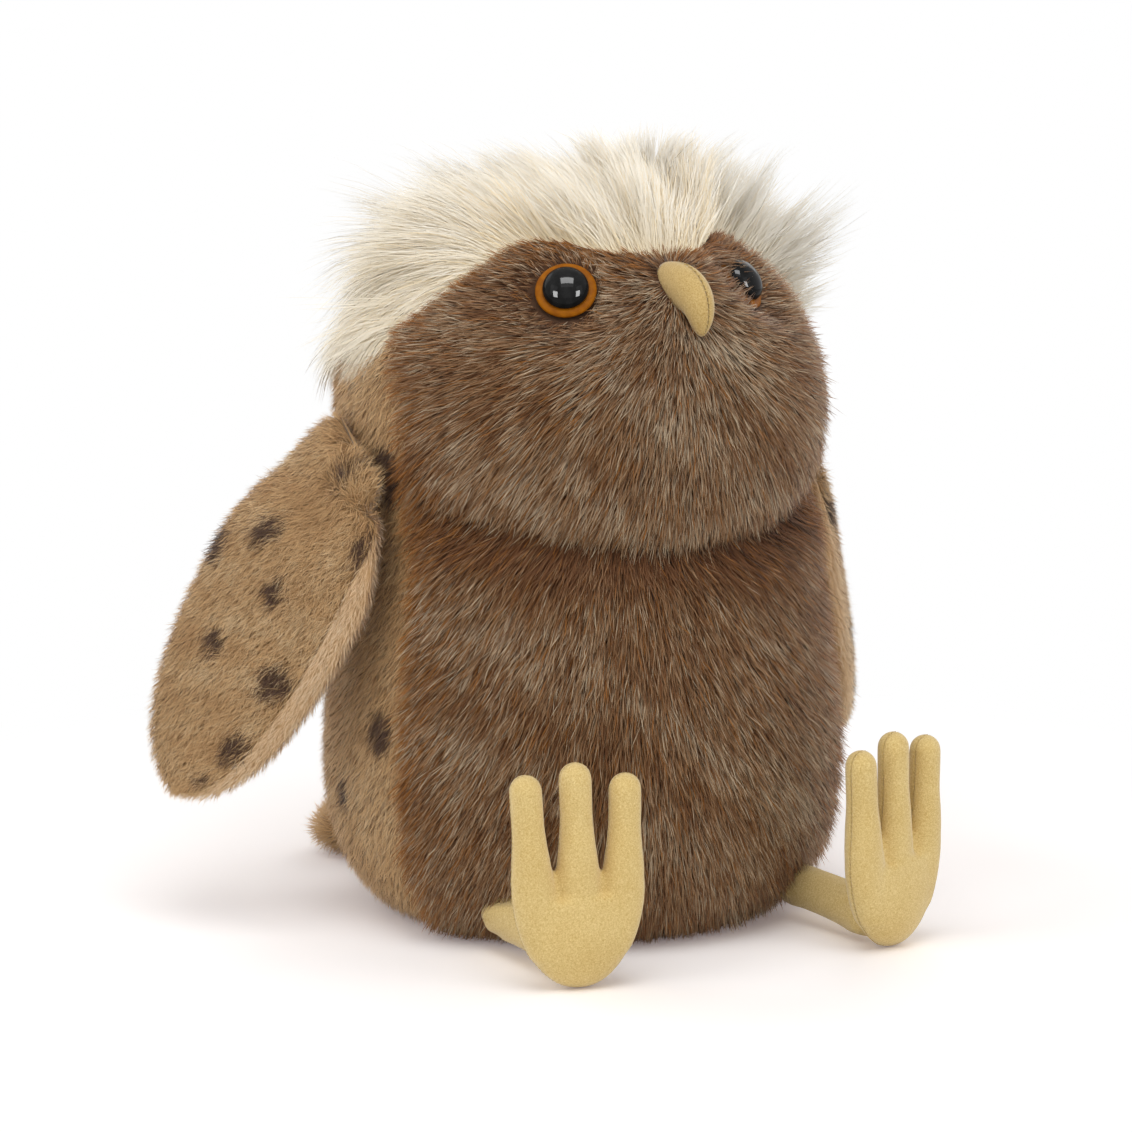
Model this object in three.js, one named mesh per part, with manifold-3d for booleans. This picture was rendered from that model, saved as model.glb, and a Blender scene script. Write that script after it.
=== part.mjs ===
// Plush owl that sits upright, in millimetres.
// +Z is up, the owl faces -Y and its left side is +X.
// The origin is the centre of the flat base, on the surface that the toy stands on.

import * as THREE from 'three';
import { mergeVertices } from 'three/addons/utils/BufferGeometryUtils.js';
import Module from 'manifold-3d';

const wasm = await Module();
wasm.setup();

const { degToRad, lerp, smoothstep } = THREE.MathUtils;
const quarter = Math.PI / 2;
const full_turn = 2 * Math.PI;

// Clearances
const seam_gap = 0.3;
const fill_gap = 0.5;
const body_fill_gap = 1.6;
const joint_gap = 0.3;
const sewn_gap = 0.5;
const weld = 1e-4;

// Fabrics
const plush = 2;
const suede = 1.3;

// Body form, from the base up to the crown
const base_radius = 44;
const belly_radius = 74.5;
const belly_height = 46;
const neck_radius = 67.5;
const neck_height = 122;
const head_radius = 70.5;
const head_height = 150;
const crown_height = 210;
const base_roundness = 2.3;
const top_station = 4;

// The torso sits turned a little under the head
const torso_turn_deg = -5;
const turn_start_share = -0.6;

// Side seams of the chest and the face
const chest_seam_deg = 72;
const face_seam_deg = 86;
const seam_start_share = -0.5;

// Chin seam, pulled in between chest and face
const chin_front_drop = 7;
const chin_side_rise = 7;
const chin_side_deg = 78;
const chin_rise_power = 1.6;
const chin_tuck_depth = 5;
const chin_tuck_width = 7;
const fill_tuck_width = 16;
const chin_fade_deg = 52;

// Crest seam over the brow and round the back of the head
const crest_front_share = 0.75;
const crest_back_share = 0.23;
const crest_brow_share = 0.067;
const crest_brow_deg = 42;
const crest_brow_width_deg = 18;
const crest_fall_start_deg = 50;
const crest_fall_end_deg = 100;
const crest_loft = 10;
const crest_edge_loft = 12;
const crest_loft_start_share = 0.25;

// Eyes: a glossy dome on an iris ring, held by a washer behind the fabric
const eye_degs = { left: 32, right: 35 };
const eye_rise_share = 0.63;
const eye_tilt_share = 0.72;
const eye_sink_depth = 5;
const eye_sink_flat = 9;
const eye_sink_radius = 20;
const pupil_radius = 6.5;
const pupil_dome = 4.2;
const ring_radius = 8.6;
const ring_thickness = 1.3;
const ring_bevel = 0.5;
const shank_radius = 1.6;
const shank_length = 7.5;
const washer_radius = 6;
const washer_thickness = 1.2;

// Beak: two side panels over a small filling
const beak_rise_share = 0.617;
const beak_root_depth = 5;
const beak_reach = 13.5;
const beak_hook_reach = 11.5;
const beak_drop = 13.5;
const beak_half_width = 6.8;
const beak_half_height = 6.6;
const beak_bend_share = 0.55;
const beak_arch_share = 0.1;
const beak_fall_share = 0.2;
const beak_fullness = 3;
const beak_taper = 0.75;

// Wings: outer and inner panel over a flat filling
const wing_root_deg = 92;
const wing_root_rise = 13.5;
const wing_root_tilt_deg = 38;
const wing_root_radius = 5.5;
const wing_root_half_chord = 17;
const wing_length = 107;
const wing_half_chord = 28.5;
const wing_half_thickness = 7.6;
const wing_widest_share = 0.36;
const wing_root_taper_share = 0.86;
const wing_root_run_share = 0.1;
const wing_front_fullness = 2.5;
const wing_back_fullness = 2.6;
const wing_thick_fullness = 2.4;
const wing_flare_deg = 25.8;
const wing_sweep_deg = 13;
const wing_face_turn_deg = 20;
const wing_hang_degs = { right: 0, left: 5 };

// Legs: a stuffed tube from the hip to the heel
const hip_deg = 45;
const hip_height = 10.5;
const hip_sink = 0.5;
const hip_radius = 6.3;
const hip_lift_deg = 12;
const hip_drop_deg = 60;
const hip_lift_steps = 5;
const leg_length = 36.2;
const leg_yaw_degs = { right: 0.3, left: 4.5 };
const ankle_radius = 7;
const leg_waist_share = 0.94;

// Feet: sole panel and back panel with three stuffed toes
const foot_yaw_deg = 14;
const foot_lean_deg = 4;
const foot_roll_degs = { right: -3, left: -6 };
const palm_height = 31.5;
const palm_half_width = 18.5;
const palm_half_thickness = 6.6;
const palm_heel_height = 14;
const palm_full_share = 0.95;
const palm_web_wide_share = 0.9;
const palm_web_thick_share = 0.72;
const toe_radius = 5.1;
const toe_tip_radius = 4.6;
const toe_spread = 13.6;
const toe_root_height = 22;
const middle_toe_height = 64;
const side_toe_height = 59.5;
const ankle_height = 7.6;
const ankle_back = 9.5;

// Tail: a flat stuffed lobe on the floor behind the body
const tail_turn_deg = 5;
const tail_root_height = 8.3;
const tail_root_radius = 6.4;
const tail_root_half_width = 20;
const tail_root_out_share = 0.7;
const tail_length = 38;
const tail_half_width = 36;
const tail_widest_share = 0.45;
const tail_half_thickness = 8;
const tail_wide_fullness = 2.2;
const tail_thick_fullness = 2.6;
const tail_lift_deg = 25;

// Bag of pellets in the seat
const bag_radius = 37;
const bag_height = 24;

// Facets
const front_columns = 18;
const side_columns = 8;
const chest_rows = 9;
const tuck_rows = 4;
const face_rows = 12;
const form_columns = 60;
const form_rows = 40;
const crest_rows = 6;
const fill_columns = 24;
const torso_fill_rows = 10;
const head_fill_rows = 8;
const limb_sides = 14;
const beak_sides = 12;
const toe_sides = 8;
const turned_sides = 18;
const profile_steps = 400;
const bag_steps = 8;
const dome_steps = 5;
const beak_steps = 7;
const round_shares = [0.25, 0.5, 0.75];
const wing_root_shares = [0.2, 0.5, 0.8];
const wing_ring_shares = [0, 0.12, 0.36, 0.58, 0.75, 0.88, 0.96, 0.992];
const palm_ring_shares = [0.05, 0.17, 0.38, 0.65, 0.9, 0.98];
const toe_ring_shares = [0, 0.45, 0.8];
const tail_root_shares = [0.2, 0.6];
const tail_ring_shares = [0, 0.22, 0.45, 0.68, 0.85, 0.95, 0.99];
const tail_lift_shares = [0.5, 1];
const hip_reach_steps = [1, 2, 3];

const cut_reach = 4 * crown_height;

// Heights that follow from the body's form
const neck_to_head = head_height - neck_height;
const head_to_crown = crown_height - head_height;
const chin_front_height = neck_height - chin_front_drop;
const chin_side_height = neck_height + chin_side_rise;
const crest_front_height = head_height + head_to_crown * crest_front_share;
const crest_back_height = head_height + head_to_crown * crest_back_share;
const crest_brow_rise = head_to_crown * crest_brow_share;
const eye_height = head_height + head_to_crown * eye_rise_share;
const beak_root_height = head_height + head_to_crown * beak_rise_share;
const wing_root_height = neck_height + wing_root_rise;

// A closed mesh from a list of points and a list of triangles
function meshOf(points, faces) {
  const geometry = new THREE.BufferGeometry();
  geometry.setFromPoints(points);
  geometry.setIndex(faces.flat());
  return geometry;
}

// A closed body from rings of points that run round the way of travel, with a pole at each end
function ringed(start, rings, end) {
  const sides = rings[0].length;
  const points = [start, ...rings.flat(), end];
  const faces = [];
  const at = (ring, i) => 1 + ring * sides + (i % sides);
  for (let i = 0; i < sides; i += 1) {
    faces.push([0, at(0, i + 1), at(0, i)]);
    for (let k = 0; k + 1 < rings.length; k += 1) {
      faces.push([at(k, i), at(k, i + 1), at(k + 1, i + 1)]);
      faces.push([at(k, i), at(k + 1, i + 1), at(k + 1, i)]);
    }
    faces.push([points.length - 1, at(rings.length - 1, i), at(rings.length - 1, i + 1)]);
  }
  return meshOf(points, faces);
}

// A panel of fabric from its outer and inner points, both as columns of rows
function sheet(outer, inner) {
  const columns = outer.length;
  const rows = outer[0].length;
  const faces = [];
  const at = (side, i, j) => (side * columns + i) * rows + j;
  const quad = (a, b, c, d) => faces.push([a, b, c], [a, c, d]);
  for (let i = 0; i + 1 < columns; i += 1) {
    for (let j = 0; j + 1 < rows; j += 1) {
      quad(at(0, i, j), at(0, i + 1, j), at(0, i + 1, j + 1), at(0, i, j + 1));
      quad(at(1, i, j), at(1, i, j + 1), at(1, i + 1, j + 1), at(1, i + 1, j));
    }
    quad(at(1, i, 0), at(1, i + 1, 0), at(0, i + 1, 0), at(0, i, 0));
    quad(at(0, i, rows - 1), at(0, i + 1, rows - 1), at(1, i + 1, rows - 1), at(1, i, rows - 1));
  }
  for (let j = 0; j + 1 < rows; j += 1) {
    quad(at(1, 0, j), at(0, 0, j), at(0, 0, j + 1), at(1, 0, j + 1));
    quad(at(0, columns - 1, j), at(1, columns - 1, j), at(1, columns - 1, j + 1), at(0, columns - 1, j + 1));
  }
  return meshOf([...outer.flat(), ...inner.flat()], faces);
}

// The solid of a closed geometry
function solidOf(geometry) {
  const bare = geometry.clone();
  bare.deleteAttribute('normal');
  bare.deleteAttribute('uv');
  const merged = mergeVertices(bare, weld);
  const vertProperties = Float32Array.from(merged.attributes.position.array);
  const triVerts = Uint32Array.from(merged.index.array);
  return new wasm.Manifold(new wasm.Mesh({ numProp: 3, vertProperties, triVerts }));
}

// The geometry of a solid
function geometryOf(solid) {
  const mesh = solid.getMesh();
  const geometry = new THREE.BufferGeometry();
  geometry.setAttribute('position', new THREE.BufferAttribute(Float32Array.from(mesh.vertProperties), 3));
  geometry.setIndex(Array.from(mesh.triVerts));
  return geometry;
}

// Everything on the far side of a plane, as a large block that starts there
function halfSpace(point, normal) {
  const block = new THREE.BoxGeometry(cut_reach, cut_reach, cut_reach);
  block.translate(0, 0, cut_reach / 2);
  const turn = new THREE.Quaternion().setFromUnitVectors(new THREE.Vector3(0, 0, 1), normal);
  block.applyQuaternion(turn);
  block.translate(point.x, point.y, point.z);
  return solidOf(block);
}

// A round body turned about an axis from [radius, distance along the axis] pairs
function turned(outline, place, axis, sides = turned_sides) {
  const shape = outline.map(([radius, along]) => new THREE.Vector2(radius, along));
  const body = new THREE.LatheGeometry(shape, sides);
  body.applyQuaternion(new THREE.Quaternion().setFromUnitVectors(new THREE.Vector3(0, 1, 0), axis));
  body.translate(place.x, place.y, place.z);
  return body;
}

// A ball
function ball(place, radius) {
  const body = new THREE.SphereGeometry(radius, turned_sides, turned_sides / 2);
  body.rotateX(quarter);
  body.translate(place.x, place.y, place.z);
  return solidOf(body);
}

// The mirror image through the plane between the owl's left and right
function mirrored(geometry) {
  const copy = geometry.clone();
  copy.scale(-1, 1, 1);
  const index = Array.from(copy.index.array);
  for (let i = 0; i < index.length; i += 3) {
    [index[i], index[i + 1]] = [index[i + 1], index[i]];
  }
  copy.setIndex(index);
  return copy;
}

// One ring of an oval section
function ovalRing(centre, across, up, sides) {
  return Array.from({ length: sides }, (_, i) => {
    const angle = (full_turn * i) / sides;
    return centre.clone().addScaledVector(across, Math.cos(angle)).addScaledVector(up, Math.sin(angle));
  });
}

// Radius and height of the plain body at a station: 0 base, 1 belly, 2 neck, 3 head, 4 crown
function profile(station) {
  const part = Math.min(Math.floor(station), 3);
  const share = station - part;
  const angle = share * quarter;
  const ease = (1 - Math.cos(2 * angle)) / 2;
  if (part === 0) {
    const power = 2 / base_roundness;
    const r = lerp(base_radius, belly_radius, Math.sin(angle) ** power);
    return { r, z: belly_height * (1 - Math.cos(angle) ** power) };
  }
  if (part === 1) {
    return { r: lerp(belly_radius, neck_radius, ease), z: lerp(belly_height, neck_height, share) };
  }
  if (part === 2) {
    return { r: lerp(neck_radius, head_radius, ease), z: lerp(neck_height, head_height, share) };
  }
  return { r: head_radius * Math.cos(angle), z: lerp(head_height, crown_height, Math.sin(angle)) };
}

// The station at a height
function stationOf(z) {
  if (z < belly_height) {
    return Math.acos((1 - z / belly_height) ** (base_roundness / 2)) / quarter;
  }
  if (z < neck_height) {
    return 1 + (z - belly_height) / (neck_height - belly_height);
  }
  if (z < head_height) {
    return 2 + (z - neck_height) / neck_to_head;
  }
  return 3 + Math.asin(Math.min((z - head_height) / head_to_crown, 1)) / quarter;
}

// Length of fabric from the base to each step of the profile
const run_lengths = [0];
for (let i = 1; i <= profile_steps; i += 1) {
  const before = profile((top_station * (i - 1)) / profile_steps);
  const after = profile((top_station * i) / profile_steps);
  run_lengths.push(run_lengths[i - 1] + Math.hypot(after.r - before.r, after.z - before.z));
}

// Length of fabric from the base up to a station
function runTo(station) {
  const step = (station * profile_steps) / top_station;
  const low = Math.min(Math.floor(step), profile_steps - 1);
  return lerp(run_lengths[low], run_lengths[low + 1], step - low);
}

// Stations between two of them, at given shares of the fabric's length
function stationsAt(from, to, shares) {
  return shares.map((share) => {
    if (share === 0 || share === 1) {
      return share === 0 ? from : to;
    }
    const run = lerp(runTo(from), runTo(to), share);
    const high = run_lengths.findIndex((length) => length >= run);
    const rest = (run - run_lengths[high - 1]) / (run_lengths[high] - run_lengths[high - 1]);
    return (top_station * (high - 1 + rest)) / profile_steps;
  });
}

// Even shares from 0 to 1
function evenShares(rows) {
  return Array.from({ length: rows + 1 }, (_, j) => j / rows);
}

// Height of the chin seam by angle from the chest's middle
function chinHeight(deg) {
  const share = Math.min(Math.abs(deg) / chin_side_deg, 1);
  return lerp(chin_front_height, chin_side_height, share ** chin_rise_power);
}

// Height of the crest seam by angle from the face's middle
function crestHeight(deg) {
  const fall = smoothstep(Math.abs(deg), crest_fall_start_deg, crest_fall_end_deg);
  const brow = Math.exp(-(((Math.abs(deg) - crest_brow_deg) / crest_brow_width_deg) ** 2));
  return lerp(crest_front_height, crest_back_height, fall) + crest_brow_rise * brow;
}

// Angle of the seam between front and side panels by height
function sideSeamDeg(z) {
  const share = (z - neck_height) / neck_to_head;
  return lerp(chest_seam_deg, face_seam_deg, smoothstep(share, seam_start_share, 1));
}

// Point round the vertical axis, from the front towards the owl's left
function around(deg, r, z) {
  return new THREE.Vector3(r * Math.sin(degToRad(deg)), -r * Math.cos(degToRad(deg)), z);
}

// Angle of an eye from the front
function eyeDeg(side) {
  return side > 0 ? eye_degs.left : -eye_degs.right;
}

// Middle of an eye on the plain head, the way that it looks, and how its hollow leans
function eyeSeat(side) {
  const station = stationOf(eye_height);
  const { r, z } = profile(station);
  const deg = eyeDeg(side);
  const out = r / head_radius ** 2;
  const up = (z - head_height) / head_to_crown ** 2;
  const axis = around(deg, out, up * eye_tilt_share).normalize();
  return { place: around(deg, r, z), axis, slope: (up / out) * (1 - eye_tilt_share) };
}

// Radius and height with the chin tuck and the eye hollows
function sunkProfile(deg, station) {
  const { r, z } = profile(station);
  const fade = 1 - smoothstep(Math.abs(deg), chin_fade_deg, chin_side_deg);
  const rise = (z - chinHeight(deg)) / chin_tuck_width;
  let sunk = chin_tuck_depth * fade * Math.exp(-(rise ** 2));
  for (const side of [-1, 1]) {
    const { place, slope } = eyeSeat(side);
    const near = 1 - smoothstep(around(deg, r, z).distanceTo(place), eye_sink_flat, eye_sink_radius);
    sunk += (eye_sink_depth - slope * (z - eye_height)) * near;
  }
  return { r: Math.max(r - sunk, 0), z };
}

// Point of the body's form, set in by a depth along its normal
function bodyPoint(deg, station, inset) {
  const step = 1 / profile_steps;
  const below = sunkProfile(deg, Math.max(station - step, 0));
  const above = sunkProfile(deg, Math.min(station + step, top_station));
  const run = Math.hypot(above.r - below.r, above.z - below.z);
  const here = sunkProfile(deg, station);
  const r = here.r - (inset * (above.z - below.z)) / run;
  const z = here.z + (inset * (above.r - below.r)) / run;
  const share = (z - neck_height) / neck_to_head;
  const turn = torso_turn_deg * (1 - smoothstep(share, turn_start_share, 1));
  return around(deg + turn, Math.max(r, 0), z);
}

// Half of the seam's gap as an angle
function gapDeg(station) {
  return THREE.MathUtils.radToDeg(seam_gap / 2 / profile(station).r);
}

// A body panel between two side seams, given each column's lowest and highest station
function bodyPanel(columns, shares, lowest, highest, degAt) {
  const side = (inset) => evenShares(columns).map((share) => {
    const stations = stationsAt(lowest(share), highest(share), shares);
    return stations.map((station) => bodyPoint(degAt(share, station), station, inset));
  });
  return sheet(side(0), side(plush));
}

// Angle within the front panels, from side seam to side seam
function frontDeg(share, station) {
  return (2 * share - 1) * (sideSeamDeg(profile(station).z) - gapDeg(station));
}

// Angle within a side panel, from its side seam to the middle of the back
function sideDeg(share, station) {
  return lerp(sideSeamDeg(profile(station).z) + gapDeg(station), 180 - gapDeg(station), share);
}

// Chin seam of a column of the front panels
function chinOf(share) {
  return chinHeight((2 * share - 1) * chin_side_deg);
}

// Rows of the chest, closer together where it is pulled in under the chin
function chestShares() {
  const tuck = (2 * chin_tuck_width) / runTo(stationOf(chin_side_height));
  const low = evenShares(chest_rows).map((share) => share * (1 - tuck));
  return [...low, ...evenShares(tuck_rows).slice(1).map((share) => lerp(1 - tuck, 1, share))];
}

function chestPanel() {
  const top = (share) => stationOf(chinOf(share) - seam_gap / 2);
  return bodyPanel(front_columns, chestShares(), () => 0, top, frontDeg);
}

function facePanel() {
  const low = (share) => stationOf(chinOf(share) + seam_gap / 2);
  const top = (share) => stationOf(crestHeight((2 * share - 1) * face_seam_deg) - seam_gap / 2);
  return bodyPanel(front_columns, evenShares(face_rows), low, top, frontDeg);
}

// Rows of a side panel, which meet those of the chest and the face at its side seam
function sideShares() {
  const chin = runTo(stationOf(chin_side_height));
  const crest = runTo(stationOf(crestHeight(face_seam_deg) - seam_gap / 2));
  const low = chestShares().slice(0, -1).map((share) => (share * chin) / crest);
  return [...low, ...evenShares(face_rows).map((share) => lerp(chin / crest, 1, share))];
}

function sidePanel(sign) {
  const shareOf = (share) => (sign > 0 ? share : 1 - share);
  const top = (share) => stationOf(crestHeight(lerp(face_seam_deg, 180, shareOf(share))) - seam_gap / 2);
  const degAt = (share, station) => sign * sideDeg(shareOf(share), station);
  return bodyPanel(side_columns, sideShares(), () => 0, top, degAt);
}

// Angles of the crest's columns, which meet those of the panels below
function crestDegs() {
  const front = Array.from({ length: front_columns + 1 }, (_, i) => {
    return (2 * (i / front_columns) - 1) * face_seam_deg;
  });
  const side = Array.from({ length: side_columns }, (_, i) => {
    return lerp(face_seam_deg, 180, (i + 1) / side_columns);
  });
  const back = side.slice(0, -1).reverse();
  return [...front, ...side, ...back.map((deg) => 360 - deg)];
}

// The crest's cap, whose long pile stands thick away from its seam
function crestPanel() {
  const degs = crestDegs();
  const ringAt = (share, insetAt) => degs.map((deg) => {
    const away = deg > 180 ? 360 - deg : Math.abs(deg);
    const low = stationOf(crestHeight(away) + seam_gap / 2);
    return bodyPoint(deg, lerp(low, top_station, share), insetAt(share, away));
  });
  const loft = (share, away) => {
    const edge = crest_edge_loft * smoothstep(away, crest_fall_start_deg, crest_fall_end_deg);
    const rise = smoothstep(share, -crest_loft_start_share, 1 - crest_loft_start_share);
    return -lerp(edge, crest_loft, rise);
  };
  const shares = Array.from({ length: crest_rows }, (_, i) => i / crest_rows);
  const inner = shares.map((share) => ringAt(share, () => plush)).reverse();
  const outer = shares.map((share) => ringAt(share, loft));
  const innerTop = new THREE.Vector3(0, 0, crown_height - plush);
  const outerTop = new THREE.Vector3(0, 0, crown_height + crest_loft);
  return ringed(innerTop, [...inner, ...outer], outerTop);
}

// The flat base
function basePanel() {
  const r = base_radius - seam_gap;
  const outline = [[0, 0], [r, 0], [r, plush], [0, plush]];
  const columns = 2 * front_columns;
  return turned(outline, new THREE.Vector3(), new THREE.Vector3(0, 0, 1), columns);
}

// One ring of the filling, which keeps further in behind the chin seam
function fillRing(station, inset) {
  return Array.from({ length: fill_columns }, (_, i) => {
    const turn = (360 * i) / fill_columns;
    const deg = turn > 180 ? turn - 360 : turn;
    const rise = (profile(station).z - chinHeight(deg)) / fill_tuck_width;
    const fade = 1 - smoothstep(Math.abs(deg), chin_side_deg, chin_side_deg + chin_fade_deg);
    return bodyPoint(deg, station, inset + chin_tuck_depth * fade * Math.exp(-(rise ** 2)));
  });
}

// The body's outer form, grown by a clearance
function bodyForm(grown) {
  const rings = stationsAt(0, top_station, evenShares(form_rows)).slice(0, -1).map((station) => {
    return Array.from({ length: form_columns }, (_, i) => {
      const deg = (360 * i) / form_columns;
      return bodyPoint(deg > 180 ? deg - 360 : deg, station, -grown);
    });
  });
  const foot = new THREE.Vector3(0, 0, -grown);
  return solidOf(ringed(foot, rings, new THREE.Vector3(0, 0, crown_height + grown)));
}

// Middle and half height of the pellet bag
const bag_half_height = bag_height / 2;
const bag_middle = plush + fill_gap + bag_half_height;

// Filling of the torso, hollowed underneath for the pellet bag
function torsoStuffing() {
  const inset = plush + body_fill_gap;
  const columns = fill_columns;
  const hollow_radius = bag_radius + body_fill_gap;
  const hollow_top = bag_middle + bag_half_height + body_fill_gap;
  const hollowRing = (r, z) => Array.from({ length: columns }, (_, i) => around((360 * i) / columns, r, z));
  const hollow = [...round_shares, 1].map((share) => {
    const r = hollow_radius * Math.sin(share * quarter);
    return hollowRing(r, lerp(bag_middle, hollow_top, Math.cos(share * quarter)));
  });
  hollow.push(hollowRing(hollow_radius, inset));
  const top = neck_height - seam_gap / 2;
  const stations = stationsAt(0, stationOf(top), evenShares(torso_fill_rows));
  const skin = stations.map((station) => fillRing(station, inset));
  const neck = new THREE.Vector3(0, 0, top);
  return ringed(new THREE.Vector3(0, 0, hollow_top), [...hollow, ...skin], neck);
}

// Filling of the head
function headStuffing() {
  const inset = plush + body_fill_gap;
  const low = neck_height + seam_gap / 2;
  const stations = stationsAt(stationOf(low), top_station, evenShares(head_fill_rows)).slice(0, -1);
  const rings = stations.map((station) => fillRing(station, inset));
  const crown = new THREE.Vector3(0, 0, crown_height - inset);
  return ringed(new THREE.Vector3(0, 0, low), rings, crown);
}

// Bag of plastic pellets that weights the seat
function pelletBag() {
  const outline = [];
  for (let i = 0; i <= bag_steps; i += 1) {
    const angle = -quarter + (i * 2 * quarter) / bag_steps;
    outline.push([bag_radius * Math.cos(angle), bag_middle + bag_half_height * Math.sin(angle)]);
  }
  outline[0][0] = 0;
  outline[bag_steps][0] = 0;
  return turned(outline, new THREE.Vector3(), new THREE.Vector3(0, 0, 1));
}

// Where an eye's parts lie along its axis, from the hollow's bottom outwards
const ring_foot = joint_gap;
const ring_top = ring_foot + ring_thickness;
const dome_foot = ring_top + joint_gap;
const washer_top = -(plush + joint_gap);
const washer_foot = washer_top - washer_thickness;
const ring_bore = shank_radius + joint_gap;

// Bottom of an eye's hollow
function eyeFloor(side) {
  const { place, axis } = eyeSeat(side);
  const floor = bodyPoint(eyeDeg(side), stationOf(eye_height), 0);
  const drop = place.clone().sub(floor).dot(axis);
  return { place: place.clone().addScaledVector(axis, -drop), axis };
}

// Glossy pupil dome with its shank
function eyeDome(side) {
  const { place, axis } = eyeFloor(side);
  const outline = [[0, dome_foot - shank_length], [shank_radius, dome_foot - shank_length]];
  outline.push([shank_radius, dome_foot]);
  for (let i = 0; i < dome_steps; i += 1) {
    const angle = (i * quarter) / dome_steps;
    outline.push([pupil_radius * Math.cos(angle), dome_foot + pupil_dome * Math.sin(angle)]);
  }
  outline.push([0, dome_foot + pupil_dome]);
  return turned(outline, place, axis);
}

// Amber iris ring under the dome
function irisRing(side) {
  const { place, axis } = eyeFloor(side);
  const rim = ring_radius - ring_bevel;
  const shoulder = ring_top - ring_bevel;
  const outline = [[ring_bore, ring_foot], [ring_radius, ring_foot], [ring_radius, shoulder]];
  outline.push([rim, ring_top], [ring_bore, ring_top], [ring_bore, ring_foot]);
  return turned(outline, place, axis);
}

// Washer that grips the shank behind the fabric
function eyeWasher(side) {
  const { place, axis } = eyeFloor(side);
  const outline = [[ring_bore, washer_foot], [washer_radius, washer_foot], [washer_radius, washer_top]];
  outline.push([ring_bore, washer_top], [ring_bore, washer_foot]);
  return turned(outline, place, axis);
}

// Room for an eye's ring above the fabric, and for its shank through it
function eyeCut(side) {
  const { place, axis } = eyeFloor(side);
  const reach = ring_radius + joint_gap;
  const seat = turned([[0, 0], [reach, 0], [reach, reach], [0, reach]], place, axis);
  const bore = ring_bore;
  const hole = turned([[0, -reach], [bore, -reach], [bore, reach], [0, reach]], place, axis);
  const under = washer_radius + joint_gap;
  const back = turned([[0, -reach], [under, -reach], [under, -plush], [0, -plush]], place, axis);
  return solidOf(seat).add(solidOf(hole)).add(solidOf(back));
}

// Room for an eye's washer and shank in the filling
function washerCut(side) {
  const { place, axis } = eyeFloor(side);
  const r = washer_radius + fill_gap;
  const foot = dome_foot - shank_length - fill_gap;
  return solidOf(turned([[0, foot], [r, foot], [r, r], [0, r]], place, axis));
}

// The beak's form, set in by a depth
function beakForm(inset) {
  const root = around(0, profile(stationOf(beak_root_height)).r - beak_root_depth, beak_root_height);
  const reach = beak_root_depth + beak_reach;
  const hook = beak_root_depth + beak_hook_reach;
  const line = new THREE.CubicBezierCurve3(
    root,
    root.clone().add(new THREE.Vector3(0, -reach * beak_bend_share, beak_drop * beak_arch_share)),
    root.clone().add(new THREE.Vector3(0, -reach, -beak_drop * beak_fall_share)),
    root.clone().add(new THREE.Vector3(0, -hook, -beak_drop)),
  );
  const side = new THREE.Vector3(-1, 0, 0);
  const rings = [];
  for (let i = 0; i < beak_steps; i += 1) {
    const share = (i / beak_steps) * (1 - inset / reach);
    const size = (1 - share ** beak_fullness) ** beak_taper;
    const along = line.getTangent(share);
    const up = along.clone().cross(side);
    const across = side.clone().multiplyScalar(Math.max(beak_half_width * size - inset, seam_gap));
    up.multiplyScalar(Math.max(beak_half_height * size - inset, seam_gap));
    rings.push(ovalRing(line.getPoint(share), across, up, beak_sides));
  }
  const tip = line.getPoint(1 - inset / reach);
  return solidOf(ringed(root, rings, tip));
}

// The wing's own directions at its root on the owl's right side
const wing_out = around(-wing_root_deg, 1, 0);
const wing_forward = around(90 - wing_root_deg, 1, 0);
const wing_down = new THREE.Vector3(0, 0, -1);
const wing_hinge = wing_forward.clone().multiplyScalar(Math.cos(degToRad(wing_root_tilt_deg)))
  .addScaledVector(wing_down, Math.sin(degToRad(wing_root_tilt_deg)));
const wing_along = wing_down.clone()
  .addScaledVector(wing_out, Math.tan(degToRad(wing_flare_deg)))
  .addScaledVector(wing_forward, -Math.tan(degToRad(wing_sweep_deg)))
  .normalize();
const wing_face = wing_out.clone().multiplyScalar(Math.cos(degToRad(wing_face_turn_deg)))
  .addScaledVector(wing_forward, Math.sin(degToRad(wing_face_turn_deg)));
wing_face.addScaledVector(wing_along, -wing_face.dot(wing_along)).normalize();
const wing_chord = wing_face.clone().cross(wing_along);

// Point that the right wing's hinge runs through
function wingRoot() {
  const reach = wing_root_radius + 2 * joint_gap;
  const seat = profile(stationOf(wing_root_height));
  return around(-wing_root_deg, seat.r + reach, seat.z);
}

// Turn of a wing about its hinge as it hangs
function wingHang(side) {
  const root = wingRoot();
  return new THREE.Matrix4().makeTranslation(root.x, root.y, root.z)
    .multiply(new THREE.Matrix4().makeRotationAxis(wing_hinge, degToRad(wing_hang_degs[side])))
    .multiply(new THREE.Matrix4().makeTranslation(-root.x, -root.y, -root.z));
}

// Half widths of the wing by share of its length
function wingSize(share) {
  const widest = wing_widest_share;
  if (share < widest) {
    const ease = Math.sin((share / widest) * quarter);
    const chord = lerp(wing_root_half_chord, wing_half_chord, ease);
    return { front: chord, back: chord, thick: lerp(wing_root_radius, wing_half_thickness, ease) };
  }
  const run = (share - widest) / (1 - widest);
  const front = wing_half_chord * Math.sqrt(1 - run ** wing_front_fullness);
  const back = wing_half_chord * Math.sqrt(1 - run ** wing_back_fullness);
  return { front, back, thick: wing_half_thickness * Math.sqrt(1 - run ** wing_thick_fullness) };
}

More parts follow.
